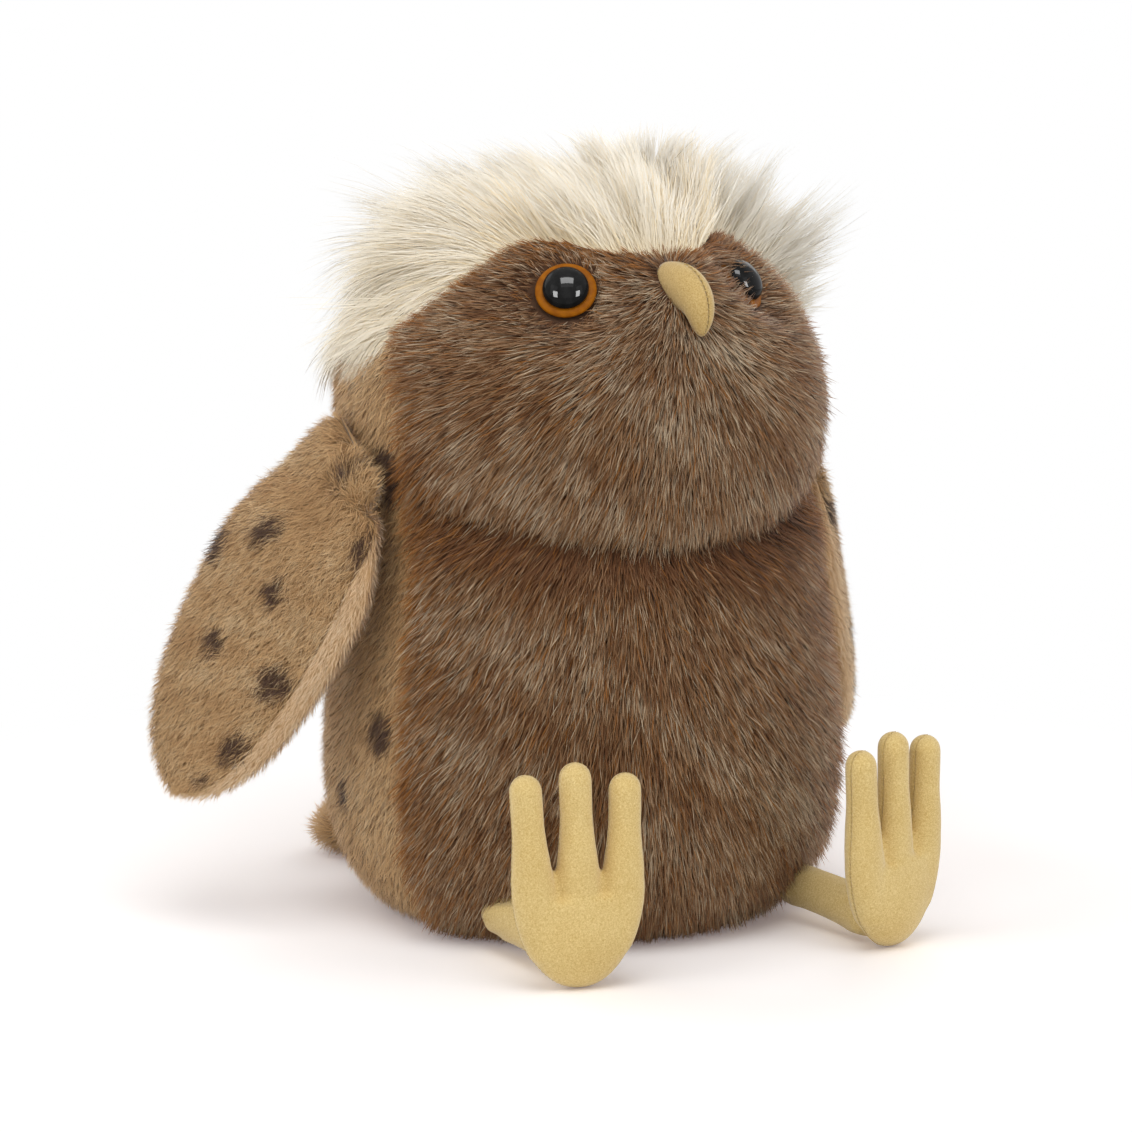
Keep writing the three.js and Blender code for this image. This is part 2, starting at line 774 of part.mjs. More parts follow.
// One ring of the wing, wider or narrower in front of its long axis than behind
function wingRing(centre, chord, face, size, inset) {
  const thick = Math.max(size.thick - inset, seam_gap);
  return Array.from({ length: limb_sides }, (_, i) => {
    const angle = (full_turn * i) / limb_sides;
    const half = Math.cos(angle) > 0 ? size.front : size.back;
    const across = Math.cos(angle) * Math.max(half - inset, seam_gap);
    return centre.clone().addScaledVector(chord, across).addScaledVector(face, Math.sin(angle) * thick);
  });
}

// The right wing's form, set in by a depth. Its root is round about the hinge.
function wingForm(inset) {
  const root = wingRoot();
  const away = wing_along.clone().addScaledVector(wing_hinge, -wing_along.dot(wing_hinge)).normalize();
  const face = away.clone().cross(wing_hinge);
  const radius = wing_root_radius;
  const rings = [];
  for (const turn of wing_root_shares) {
    const angle = turn * quarter;
    const centre = root.clone().addScaledVector(away, -(radius - inset) * Math.cos(angle));
    const chord = wing_root_half_chord * lerp(wing_root_taper_share, 1, turn);
    const size = { front: chord, back: chord, thick: inset + (radius - inset) * Math.sin(angle) };
    rings.push(wingRing(centre, wing_hinge, face, size, inset));
  }
  const reach = wing_length - inset;
  for (const share of wing_ring_shares) {
    const blend = smoothstep(share, 0, wing_widest_share);
    const chord = wing_hinge.clone().lerp(wing_chord, blend);
    const square = smoothstep(share, 0, wing_root_run_share);
    chord.addScaledVector(wing_along, -chord.dot(wing_along) * square).normalize();
    const thick = face.clone().lerp(wing_face, blend).normalize();
    const centre = root.clone().addScaledVector(wing_along, share * reach);
    rings.push(wingRing(centre, chord, thick, wingSize(share), inset));
  }
  const start = root.clone().addScaledVector(away, -(radius - inset));
  return solidOf(ringed(start, rings, root.clone().addScaledVector(wing_along, reach)));
}

// Outer panel, inner panel and filling of a form that is split along a seam plane
function splitShell(formAt, fabric, seamPoint, seamNormal) {
  const shell = formAt(0).subtract(formAt(fabric));
  const above = seamPoint.clone().addScaledVector(seamNormal, seam_gap / 2);
  const below = seamPoint.clone().addScaledVector(seamNormal, -seam_gap / 2);
  return {
    near: shell.intersect(halfSpace(above, seamNormal)),
    far: shell.intersect(halfSpace(below, seamNormal.clone().negate())),
    filling: formAt(fabric + fill_gap),
  };
}

// A leg's hip and ankle
function legLine(side) {
  const sign = side === 'left' ? 1 : -1;
  const seat = bodyPoint(sign * hip_deg, stationOf(hip_height), hip_sink);
  const hip = new THREE.Vector3(seat.x, seat.y, hip_height);
  const lean = degToRad(foot_lean_deg);
  const ankle_rise = ankle_height * Math.cos(lean) + ankle_back * Math.sin(lean);
  const drop = hip_height - ankle_rise;
  const run = Math.sqrt(leg_length ** 2 - drop ** 2);
  const ankle = hip.clone().add(around(leg_yaw_degs[side], run, -drop));
  return { hip, ankle, sign };
}

// A leg's form, set in by a depth, with its hip end lengthened by an opening
function legForm(side, inset, opening) {
  const { hip, ankle } = legLine(side);
  const along = ankle.clone().sub(hip);
  const length = along.length();
  along.normalize();
  const across = new THREE.Vector3(0, 0, 1).cross(along).normalize();
  const up = along.clone().cross(across);
  const ringAt = (distance, radius) => {
    const r = Math.max(radius - inset, seam_gap);
    const centre = hip.clone().addScaledVector(along, distance);
    return ovalRing(centre, across.clone().multiplyScalar(r), up.clone().multiplyScalar(r), limb_sides);
  };
  const rings = [];
  for (const share of opening > 0 ? [] : round_shares) {
    const angle = share * quarter;
    const radius = hip_radius - inset;
    rings.push(ringAt(-radius * Math.cos(angle), inset + radius * Math.sin(angle)));
  }
  if (opening > 0) {
    rings.push(ringAt(-opening, hip_radius));
  }
  rings.push(ringAt(0, hip_radius));
  rings.push(ringAt(length / 2, lerp(hip_radius, ankle_radius, 0.5) * leg_waist_share));
  rings.push(ringAt(length, ankle_radius));
  for (const share of round_shares) {
    const angle = share * quarter;
    const radius = ankle_radius - inset;
    rings.push(ringAt(length + radius * Math.sin(angle), inset + radius * Math.cos(angle)));
  }
  const start = hip.clone().addScaledVector(along, -(opening > 0 ? opening : hip_radius - inset));
  return solidOf(ringed(start, rings, ankle.clone().addScaledVector(along, ankle_radius - inset)));
}

// Room in the body for a hip and for the leg as it lifts
function hipClear(side) {
  const { hip, ankle } = legLine(side);
  let room = ball(hip, hip_radius + sewn_gap);
  for (const lift of evenShares(hip_lift_steps)) {
    const turn = new THREE.Vector3(-1, 0, 0);
    const along = ankle.clone().sub(hip).normalize();
    along.applyAxisAngle(turn, degToRad(lerp(-hip_drop_deg, hip_lift_deg, lift)));
    for (const reach of hip_reach_steps) {
      const place = hip.clone().addScaledVector(along, (reach * hip_radius) / 2);
      room = room.add(ball(place, hip_radius + sewn_gap));
    }
  }
  return room;
}

// Suede tube of a leg, open where it is sewn into the body
function legTube(side) {
  return legForm(side, 0, 0).subtract(legForm(side, suede, hip_radius + suede));
}

// A foot's place: the heel is under the ankle and the sole faces forward
function footPlace(side) {
  const { ankle, sign } = legLine(side);
  const yaw = degToRad(sign * foot_yaw_deg);
  const turn = new THREE.Euler(degToRad(foot_lean_deg), degToRad(foot_roll_degs[side]), yaw, 'ZYX');
  const place = new THREE.Matrix4().makeRotationFromEuler(turn);
  const shift = new THREE.Vector3(0, ankle_back, ankle_height).applyMatrix4(place);
  place.setPosition(ankle.clone().sub(shift));
  return place;
}

// A foot's palm from the heel to the web between the toes, set in by a depth
function palmForm(inset) {
  const rings = [];
  const x = new THREE.Vector3(1, 0, 0);
  const y = new THREE.Vector3(0, 1, 0);
  for (const share of palm_ring_shares) {
    const height = share * palm_height;
    const web = share > palm_full_share;
    const rise = 1 - Math.min(share / palm_full_share, 1);
    const wide = palm_half_width * Math.sqrt(1 - rise ** 2) * (web ? palm_web_wide_share : 1);
    const heel = 1 - Math.min(height / palm_heel_height, 1);
    const slim = lerp(palm_half_thickness, toe_radius, smoothstep(height, palm_heel_height, palm_height));
    const thick = slim * Math.sqrt(1 - heel ** 2) * (web ? palm_web_thick_share : 1);
    const across = x.clone().multiplyScalar(Math.max(wide - inset, seam_gap));
    const up = y.clone().multiplyScalar(Math.max(thick - inset, seam_gap));
    const z = THREE.MathUtils.clamp(height, inset + share * seam_gap, palm_height - inset);
    rings.push(ovalRing(new THREE.Vector3(0, 0, z), across, up, limb_sides));
  }
  const end = new THREE.Vector3(0, 0, palm_height - inset + seam_gap);
  return solidOf(ringed(new THREE.Vector3(0, 0, inset), rings, end));
}

// One toe, set in by a depth
function toeForm(offset, tip_height, inset) {
  const rings = [];
  const ringAt = (z, r) => {
    const across = new THREE.Vector3(r, 0, 0);
    return ovalRing(new THREE.Vector3(offset, 0, z), across, new THREE.Vector3(0, r, 0), toe_sides);
  };
  rings.push(ringAt(toe_root_height, toe_radius - inset));
  const tip = toe_tip_radius - inset;
  const shoulder = tip_height - toe_tip_radius;
  for (const share of toe_ring_shares) {
    const angle = share * quarter;
    rings.push(ringAt(shoulder + tip * Math.sin(angle), tip * Math.cos(angle)));
  }
  const end = new THREE.Vector3(offset, 0, shoulder + tip);
  return solidOf(ringed(new THREE.Vector3(offset, 0, toe_root_height), rings, end));
}

// A whole foot's form, set in by a depth
function footForm(inset) {
  return palmForm(inset)
    .add(toeForm(-toe_spread, side_toe_height, inset))
    .add(toeForm(0, middle_toe_height, inset))
    .add(toeForm(toe_spread, side_toe_height, inset));
}

// The tail's directions and the point that its hinge runs through
const tail_out = around(180 + tail_turn_deg, 1, 0);
const tail_side = around(90 + tail_turn_deg, 1, 0);

function tailRoot() {
  const seat = profile(stationOf(tail_root_height)).r + joint_gap;
  return around(180 + tail_turn_deg, seat + tail_root_radius * tail_root_out_share, tail_root_height);
}

// The tail's form, set in by a depth. Its root is round about the hinge.
function tailForm(inset) {
  const root = tailRoot();
  const up = new THREE.Vector3(0, 0, 1);
  const rings = [];
  const radius = tail_root_radius - inset;
  const ringAt = (distance, half, thick) => {
    const across = tail_side.clone().multiplyScalar(-Math.max(half - inset, seam_gap));
    const rise = up.clone().multiplyScalar(Math.max(thick, seam_gap));
    return ovalRing(root.clone().addScaledVector(tail_out, distance), across, rise, limb_sides);
  };
  for (const share of tail_root_shares) {
    const angle = share * quarter;
    rings.push(ringAt(-radius * Math.cos(angle), tail_root_half_width, radius * Math.sin(angle)));
  }
  const reach = tail_length - inset;
  for (const share of tail_ring_shares) {
    const grown = Math.sin(Math.min(share / tail_widest_share, 1) * quarter);
    const run = Math.max(share - tail_widest_share, 0) / (1 - tail_widest_share);
    const half = lerp(tail_root_half_width, tail_half_width, grown);
    const thick = lerp(tail_root_radius, tail_half_thickness, grown);
    const wide = half * Math.sqrt(1 - run ** tail_wide_fullness);
    const deep = thick * Math.sqrt(1 - run ** tail_thick_fullness);
    rings.push(ringAt(share * reach, wide, deep - inset));
  }
  const start = root.clone().addScaledVector(tail_out, -radius);
  return solidOf(ringed(start, rings, root.clone().addScaledVector(tail_out, reach)));
}

// Room that the body keeps from the tail while it lifts
function tailClear(body) {
  const root = tailRoot();
  let room = body;
  for (const share of tail_lift_shares) {
    const turn = new THREE.Matrix4().makeRotationAxis(tail_side, degToRad(-tail_lift_deg * share));
    const about = new THREE.Matrix4().makeTranslation(root.x, root.y, root.z)
      .multiply(turn)
      .multiply(new THREE.Matrix4().makeTranslation(-root.x, -root.y, -root.z));
    room = room.add(body.transform(about.elements));
  }
  return room;
}

const finishes = {
  brown_pile: { color: 0x7a5c40, roughness: 0.95, metalness: 0 },
  tan_pile: { color: 0xa98c6b, roughness: 0.95, metalness: 0 },
  pale_pile: { color: 0xbb9f80, roughness: 0.95, metalness: 0 },
  ivory_pile: { color: 0xece4d4, roughness: 0.95, metalness: 0 },
  suede: { color: 0xd6bb79, roughness: 0.85, metalness: 0 },
  black_gloss: { color: 0x0a0a0b, roughness: 0.05, metalness: 0 },
  amber: { color: 0xcd861c, roughness: 0.4, metalness: 0 },
  fibre: { color: 0xf2f0ea, roughness: 1, metalness: 0 },
  nylon: { color: 0xe8e6df, roughness: 0.5, metalness: 0 },
};

const owl = new THREE.Group();

// Adds one named piece
function piece(name, geometry, finish) {
  const mesh = new THREE.Mesh(geometry, new THREE.MeshStandardMaterial(finishes[finish]));
  mesh.name = name;
  owl.add(mesh);
}

const sides = { left: 1, right: -1 };
const body_clear = bodyForm(sewn_gap);

const hip_room = hipClear('left').add(hipClear('right'));

const eye_room = eyeCut(1).add(eyeCut(-1));
piece('chest_panel', geometryOf(solidOf(chestPanel()).subtract(hip_room)), 'brown_pile');
piece('face_panel', geometryOf(solidOf(facePanel()).subtract(eye_room)), 'brown_pile');
piece('side_panel_left', sidePanel(1), 'tan_pile');
piece('side_panel_right', sidePanel(-1), 'tan_pile');
piece('crest_panel', crestPanel(), 'ivory_pile');
piece('base_panel', basePanel(), 'tan_pile');
piece('torso_stuffing', geometryOf(solidOf(torsoStuffing()).subtract(hip_room)), 'fibre');
const washer_room = washerCut(1).add(washerCut(-1));
piece('head_stuffing', geometryOf(solidOf(headStuffing()).subtract(washer_room)), 'fibre');
piece('pellet_bag', pelletBag(), 'nylon');

for (const [side, sign] of Object.entries(sides)) {
  piece(`eye_${side}`, eyeDome(sign), 'black_gloss');
  piece(`iris_ring_${side}`, irisRing(sign), 'amber');
  piece(`eye_washer_${side}`, eyeWasher(sign), 'nylon');
}

// Beak panels meet on the ridge, in the plane between the owl's left and right
const beak = splitShell(beakForm, suede, new THREE.Vector3(), new THREE.Vector3(1, 0, 0));
piece('beak_panel_left', geometryOf(beak.near.subtract(body_clear)), 'suede');
piece('beak_panel_right', geometryOf(beak.far.subtract(body_clear)), 'suede');
piece('beak_stuffing', geometryOf(beak.filling.subtract(body_clear)), 'fibre');

const wing = splitShell(wingForm, plush, wingRoot(), wing_face);
for (const [side, sign] of Object.entries(sides)) {
  const place = (solid) => {
    const hung = solid.transform(wingHang(side).elements);
    return geometryOf((sign > 0 ? solidOf(mirrored(geometryOf(hung))) : hung).subtract(body_clear));
  };
  piece(`wing_outer_panel_${side}`, place(wing.near), 'tan_pile');
  piece(`wing_inner_panel_${side}`, place(wing.far), 'pale_pile');
  piece(`wing_stuffing_${side}`, place(wing.filling), 'fibre');
}

const foot_back = new THREE.Vector3(0, 1, 0);
const foot = splitShell(footForm, suede, new THREE.Vector3(), foot_back);
for (const side of Object.keys(sides)) {
  const place = footPlace(side).elements;
  const ankle_room = ball(legLine(side).ankle, ankle_radius + joint_gap);
  piece(`leg_tube_${side}`, geometryOf(legTube(side)), 'suede');
  piece(`leg_stuffing_${side}`, geometryOf(legForm(side, suede + fill_gap, 0)), 'fibre');
  piece(`foot_back_${side}`, geometryOf(foot.near.transform(place).subtract(ankle_room)), 'suede');
  piece(`foot_sole_${side}`, geometryOf(foot.far.transform(place)), 'suede');
  piece(`foot_stuffing_${side}`, geometryOf(foot.filling.transform(place).subtract(ankle_room)), 'fibre');
}

const tail_room = tailClear(body_clear);
const tail = splitShell(tailForm, plush, tailRoot(), new THREE.Vector3(0, 0, 1));
piece('tail_upper_panel', geometryOf(tail.near.subtract(tail_room)), 'tan_pile');
piece('tail_lower_panel', geometryOf(tail.far.subtract(tail_room)), 'tan_pile');
piece('tail_stuffing', geometryOf(tail.filling.subtract(tail_room)), 'fibre');

export default owl;
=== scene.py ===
"""A plush owl: pile fabrics grown as strands over sewn panels, sueded limbs and glossy eyes."""

import logging
import math
from dataclasses import dataclass
from enum import Enum
from functools import cache

import bmesh
import bpy
import numpy as np
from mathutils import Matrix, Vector


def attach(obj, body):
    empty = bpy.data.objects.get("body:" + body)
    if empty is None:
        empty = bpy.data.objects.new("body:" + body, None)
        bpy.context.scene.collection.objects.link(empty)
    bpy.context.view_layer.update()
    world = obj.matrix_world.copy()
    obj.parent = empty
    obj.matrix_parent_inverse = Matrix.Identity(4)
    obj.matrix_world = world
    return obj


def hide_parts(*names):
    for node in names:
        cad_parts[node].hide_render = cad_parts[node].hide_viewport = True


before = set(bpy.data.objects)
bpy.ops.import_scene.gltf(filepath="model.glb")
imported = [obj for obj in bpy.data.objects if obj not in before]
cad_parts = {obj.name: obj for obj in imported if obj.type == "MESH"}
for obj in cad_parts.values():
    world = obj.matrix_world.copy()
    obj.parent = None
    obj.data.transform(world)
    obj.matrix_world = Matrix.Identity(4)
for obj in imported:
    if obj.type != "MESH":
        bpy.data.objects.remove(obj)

log = logging.getLogger("owl")
MM = 0.001
BAKE_UV = "OFBake"
QUARTER = math.pi / 2
TURN = 2 * math.pi
UP = np.array([0.0, 0.0, 1.0])
LEFTWARD = np.array([1.0, 0.0, 0.0])
BACKWARD = np.array([0.0, 1.0, 0.0])
TINY = 1e-9
SPOT_TONE, ACCENT_TONE = 0.06, 0.07
CELL_PRIMES = np.array([7919, 104729])

Array = np.ndarray
Number = float | Array
Piece = bpy.types.Object
Material = bpy.types.Material
Tree = bpy.types.NodeTree
Node = bpy.types.Node
Socket = bpy.types.NodeSocket
Shape = tuple[Array, list]


class Side(Enum):
    """The owl's own left and right, with the sign of X there."""

    LEFT = 1
    RIGHT = -1

    @property
    def word(self) -> str:
        """The side's name as the CAD nodes spell it."""
        return self.name.lower()

    def pick(self, left: float, right: float) -> float:
        """The value for this side."""
        return left if self is Side.LEFT else right


class Region(Enum):
    """Which panel of the body a strand grows from."""

    CHEST = "chest"
    FACE = "face"
    FLANK = "flank"
    CREST = "crest"


# Numbers and vectors

def lerp(a: Number, b: Number, t: Number) -> Array:
    """The value at share t of the way from a to b."""
    return a + (b - a) * t


def smooth(x: Number, low: float, high: float) -> Array:
    """Smooth step of x, from 0 at low to 1 at high."""
    t = np.clip((np.asarray(x, float) - low) / (high - low), 0, 1)
    return t * t * (3 - 2 * t)


def unit(v: Array) -> Array:
    """The vectors in the last axis, at length one."""
    return v / np.maximum(np.linalg.norm(v, axis=-1, keepdims=True), TINY)


def bump(x: Number, middle: Number, width: Number) -> Array:
    """A round bump of height one over x."""
    return np.exp(-(((x - middle) / width) ** 2))


def eased(count: int, power: float, last: float = 0.999) -> Array:
    """Shares of a length from 0 to last, closer together towards the tip."""
    return 1 - (1 - np.linspace(0, last, count)) ** power


def ring_of(sides: int) -> Array:
    """Angles evenly round a circle."""
    return np.arange(sides) * 2 * math.pi / sides


def running(path: Array) -> Array:
    """Length along a path at each of its points."""
    return np.concatenate([[0], np.cumsum(np.linalg.norm(np.diff(path, axis=0), axis=-1))])


def around(deg: Number, r: Number, z: Number) -> Array:
    """Points at degrees from the front towards the owl's left, at a radius and a height."""
    x, y, z = np.broadcast_arrays(r * np.sin(np.radians(deg)), -r * np.cos(np.radians(deg)), z)
    return np.stack([x, y, z], -1).astype(float)


def turned_about(v: Array, axis: Array, deg: float) -> Array:
    """Vectors turned by degrees about a unit axis through the origin."""
    a, along = math.radians(deg), (v @ axis)[..., None] * axis
    return along + (v - along) * math.cos(a) + np.cross(axis, v) * math.sin(a)


def linear(hex_colour: str) -> tuple[float, ...]:
    """A screen colour, such as "#d8bd78", in the shader's linear units with alpha."""
    parts = (int(hex_colour[i:i + 2], 16) / 255 for i in (1, 3, 5))
    return tuple(c / 12.92 if c <= 0.04045 else ((c + 0.055) / 1.055) ** 2.4 for c in parts) + (1.0,)


# Meshes

def new_object(name: str, data: bpy.types.ID) -> Piece:
    """An object in the scene for a mesh, a lamp or a camera.

    Args:
        name: Name of the object.
        data: Its mesh, lamp or camera.

    Returns:
        The object, in the scene.
    """
    obj = bpy.data.objects.new(name, data)
    bpy.context.scene.collection.objects.link(obj)
    return obj


def solid(name: str, points: Array, faces: list) -> Piece:
    """A smooth object from points in millimetres.

    Args:
        name: Piece name.
        points: One point a row.
        faces: Corner indices of each face.

    Returns:
        The object.
    """
    mesh = bpy.data.meshes.new(name)
    mesh.from_pydata((np.asarray(points) * MM).tolist(), [], [tuple(map(int, f)) for f in faces])
    mesh.validate()
    mesh.shade_smooth()
    return new_object(name, mesh)


def ringed(start: Array, rings: Array, end: Array) -> Shape:
    """A closed body from rings that run round the way of travel, with a pole at each end.

    Args:
        start: First pole.
        rings: Points as (rings, sides, 3).
        end: Last pole.

    Returns:
        Points and faces.
    """
    count, sides = rings.shape[:2]
    points = np.concatenate([start[None], rings.reshape(-1, 3), end[None]])
    at = lambda k, i: 1 + k * sides + i % sides
    faces = [(0, at(0, i + 1), at(0, i)) for i in range(sides)]
    faces += [(at(k, i), at(k, i + 1), at(k + 1, i + 1), at(k + 1, i))
              for k in range(count - 1) for i in range(sides)]
    faces += [(len(points) - 1, at(count - 1, i), at(count - 1, i + 1)) for i in range(sides)]
    return points, faces


def sheet_body(outer: Array, inner: Array) -> Shape:
    """A closed panel of fabric between an outer and an inner grid.

    Args:
        outer: Points as (columns, rows, 3).
        inner: Points of the same shape.

    Returns:
        Points and faces.
    """
    columns, rows = outer.shape[:2]
    points = np.concatenate([outer.reshape(-1, 3), inner.reshape(-1, 3)])
    at = lambda s, i, j: (s * columns + i) * rows + j
    faces = []
    for i in range(columns - 1):
        for j in range(rows - 1):
            faces.append((at(0, i, j), at(0, i + 1, j), at(0, i + 1, j + 1), at(0, i, j + 1)))
            faces.append((at(1, i, j), at(1, i, j + 1), at(1, i + 1, j + 1), at(1, i + 1, j)))
        faces.append((at(1, i, 0), at(1, i + 1, 0), at(0, i + 1, 0), at(0, i, 0)))
        faces.append((at(0, i, rows - 1), at(0, i + 1, rows - 1), at(1, i + 1, rows - 1), at(1, i, rows - 1)))
    for j in range(rows - 1):
        faces.append((at(1, 0, j), at(0, 0, j), at(0, 0, j + 1), at(1, 0, j + 1)))
        faces.append((at(0, columns - 1, j), at(1, columns - 1, j),
                      at(1, columns - 1, j + 1), at(0, columns - 1, j + 1)))
    return points, faces


def merged(parts: list) -> Shape:
    """Several bodies, each of points and faces, as one.

    Args:
        parts: Points and faces of each body.

    Returns:
        Points and faces of all of them.
    """
    points, faces, total = [], [], 0
    for some_points, some_faces in parts:
        faces += [tuple(corner + total for corner in face) for face in some_faces]
        points.append(some_points)
        total += len(some_points)
    return np.concatenate(points), faces


def lathe(name: str, outline: list, place: Array, axis: Array, sides: int = 72) -> Piece:
    """A round closed body turned about an axis.

    Args:
        name: Piece name.
        outline: Pairs of radius and distance along the axis, from pole to pole.
        place: Point on the axis at distance 0.
        axis: Unit axis.
        sides: Facets round it.

    Returns:
        The object.
    """
    across = unit(np.cross(UP, axis))
    angles = ring_of(sides)
    spokes = np.cos(angles)[:, None] * across + np.sin(angles)[:, None] * np.cross(axis, across)
    rings = np.stack([place + axis * along + spokes * radius for radius, along in outline[1:-1]])
    points, faces = ringed(place + axis * outline[0][1], rings, place + axis * outline[-1][1])
    return solid(name, points, faces)


def thread(path: Array, radius: float, across: Array, sides: int) -> Shape:
    """A thin round tube along a path.

    Args:
        path: Points along the middle.
        radius: Radius of the tube.
        across: A direction across the path.
        sides: Facets round it.

    Returns:
        Points and faces.
    """
    along = unit(np.gradient(path, axis=0))
    across = unit(np.cross(along, np.tile(across, (len(path), 1))))
    up = np.cross(along, across)
    angles = ring_of(sides)
    rings = path[:, None] + radius * (np.cos(angles)[None, :, None] * across[:, None]
                                      + np.sin(angles)[None, :, None] * up[:, None])
    return ringed(path[0], rings, path[-1])


# Strands of pile

@dataclass(frozen=True)
class Roots:
    """Where strands grow: point, frame, lie of the pile, tone, place in the chart, and how each differs."""

    point: Array
    normal: Array
    lie: Array
    tone: Array
    chart: Array
    around: Array
    upward: Array
    scale: Array
    lift: Array
    hug: Array


@dataclass(frozen=True)
class Pile:
    """One kind of pile fabric: its fibres' size and the way they stand and clump."""

    length: float
    width: float
    lift_deg: float
    droop: float
    density: float
    clump: float
    pull: float
    steps: int
    ruffle: float = 0.16
    lift_jitter: float = 9.0
    curl: float = 0.0
    even: float = 0.7
    stray: float = 0.0
    tufted: float = 0.0
    round_radius: float = 68.0
    ceiling: float = 214.0
    ceiling_span: float = 32.0
    clumps: int = 8192
    clump_margin: float = 0.15
    clump_spread: float = 0.7
    clump_lift: float = 10.0
    least_lift_deg: float = 2.0
    tuft_from: float = 0.84
    tuft_pull: float = 0.5
    tuft_extra: float = 0.32
    lengths: tuple = (0.72, 0.40)
    clump_lengths: tuple = (0.88, 0.24)
    sag_in: float = 0.55
    sag_down: float = 0.45
    draw_power: float = 1.3
    curl_turns: tuple = (3.6, 3.1)
    curl_rise: float = 0.5
    floor: float = 0.25
    roll: float = 0.6
    widths: tuple = (0.75, 0.50)
    taper_power: float = 1.6
    belly: tuple = (0.7, 0.6)

    def grow(self, name: str, roots: Roots, seed: int) -> Piece:
        """Grows flat tapered strands.

        Args:
            name: Piece name.
            roots: Where they grow.
            seed: Seed of the random draws.

        Returns:
            The strands as one mesh object.
        """
        rng = np.random.default_rng(seed)
        n, normal = len(roots.point), roots.normal[:, None]
        t = np.linspace(0, 1, self.steps + 1)[None, :, None]
        middle = self.middles(roots, t, rng)
        along = unit(np.gradient(middle, axis=1))
        flat = unit(np.cross(along, normal))
        rise = np.cross(flat, along)
        roll = rng.normal(0, self.roll, n)[:, None, None]
        across = flat * np.cos(roll) + rise * np.sin(roll)
        face = rise * np.cos(roll) - flat * np.sin(roll)
        face *= np.sign((face * normal).sum(-1, keepdims=True) + TINY)
        shading = unit(self.even * normal + (1 - self.even) * face)
        half = (0.5 * self.width * (self.widths[0] + self.widths[1] * rng.random(n))[:, None, None]
                * np.sqrt(1 - t**self.taper_power) * (self.belly[0] + self.belly[1] * t))
        sides = np.stack([middle - across * half, middle + across * half], 2)[:, :-1]
        points = np.concatenate([sides.reshape(n, -1, 3), middle[:, -1:]], 1)
        normals = np.concatenate([np.repeat(shading[:, :-1], 2, 1), shading[:, -1:]], 1)
        tone = np.clip(roots.tone, 0.012, 0.988)[:, None]
        u = np.concatenate([np.tile(tone + [[-0.01, 0.01]], (1, self.steps)), tone], 1)
        climb = np.concatenate([np.repeat(np.linspace(0, 1, self.steps + 1)[:-1], 2), [1.0]])
        v = np.broadcast_to(0.01 + 0.98 * climb, u.shape)
        count = 2 * self.steps + 1
        local = [(2 * k, 2 * k + 1, 2 * k + 3) for k in range(self.steps - 1)]
        local += [(2 * k, 2 * k + 3, 2 * k + 2) for k in range(self.steps - 1)]
        local.append((count - 3, count - 2, count - 1))
        faces = (np.arange(n)[:, None, None] * count + np.array(local)[None]).reshape(-1, 3)
        return strand_object(name, points.reshape(-1, 3), faces, np.stack([u, v], -1).reshape(-1, 2),
                             normals.reshape(-1, 3))

    def middles(self, roots: Roots, t: Array, rng: np.random.Generator) -> Array:
        """The strands' middle lines.

        Args:
            roots: Where they grow.
            t: Shares of the way to the tip, as (1, steps, 1).
            rng: Source of the random draws.

        Returns:
            Points as (strands, steps, 3).
        """
        n, normal = len(roots.point), roots.normal[:, None]
        table = rng.random((4, self.clumps))
        cell = np.floor(roots.chart / self.clump).astype(np.int64)
        key = (cell @ CELL_PRIMES) % self.clumps
        centre = (cell + self.clump_margin + self.clump_spread * table[:2, key].T) * self.clump
        in_tuft = table[3, key] > self.tuft_from
        tuft = self.tufted * in_tuft
        shift = (centre - roots.chart) * (self.pull + self.tuft_pull * tuft)[:, None]
        drawn = roots.around * shift[:, :1] + roots.upward * shift[:, 1:]
        lie = (roots.lie + rng.normal(0, self.ruffle, (n, 3))
               + 0.5 * self.ruffle * (table[2:3, key].T - 0.5) * roots.around)
        lie = unit(lie - (lie * roots.normal).sum(-1, keepdims=True) * roots.normal)
        lift = (self.lift_deg + roots.lift + rng.normal(0, self.lift_jitter, n)
                + self.clump_lift * (table[3, key] - 0.5))
        lift = lift + self.stray * in_tuft
        lift = np.radians(np.maximum(lift, self.least_lift_deg))[:, None]
        length = (self.length * roots.scale * (self.lengths[0] + self.lengths[1] * rng.random(n))
                  * (self.clump_lengths[0] + self.clump_lengths[1] * table[2, key])
                  * (1 + self.tuft_extra * tuft))[:, None]
        start = lie * np.cos(lift) + roots.normal * np.sin(lift)
        fall = -roots.normal * self.sag_in - UP * self.sag_down
        middle = (roots.point[:, None]
                  + length[:, None] * (start[:, None] * t + self.droop * fall[:, None] * t**2)
                  + drawn[:, None] * t**self.draw_power)
        middle = middle - normal * (roots.hug[:, None] * length**2)[:, None] * t**2 / (2 * self.round_radius)
        if self.curl:
            sideways = np.cross(roots.normal, lie)[:, None]
            phase = (6.28 * table[0, key] + 0.7 * rng.normal(0, 1, n))[:, None, None]
            sway = np.sin(phase + self.curl_turns[0] * t) - np.sin(phase)
            rise = normal * self.curl_rise * np.cos(phase + self.curl_turns[1] * t)
            middle = middle + self.curl * t * (sideways * sway + rise)
        middle[..., 2] = np.maximum(middle[..., 2], self.floor)
        over = np.maximum(middle[..., 2] - self.ceiling, 0)
        middle[..., 2] -= over**2 / (over + self.ceiling_span)
        return middle


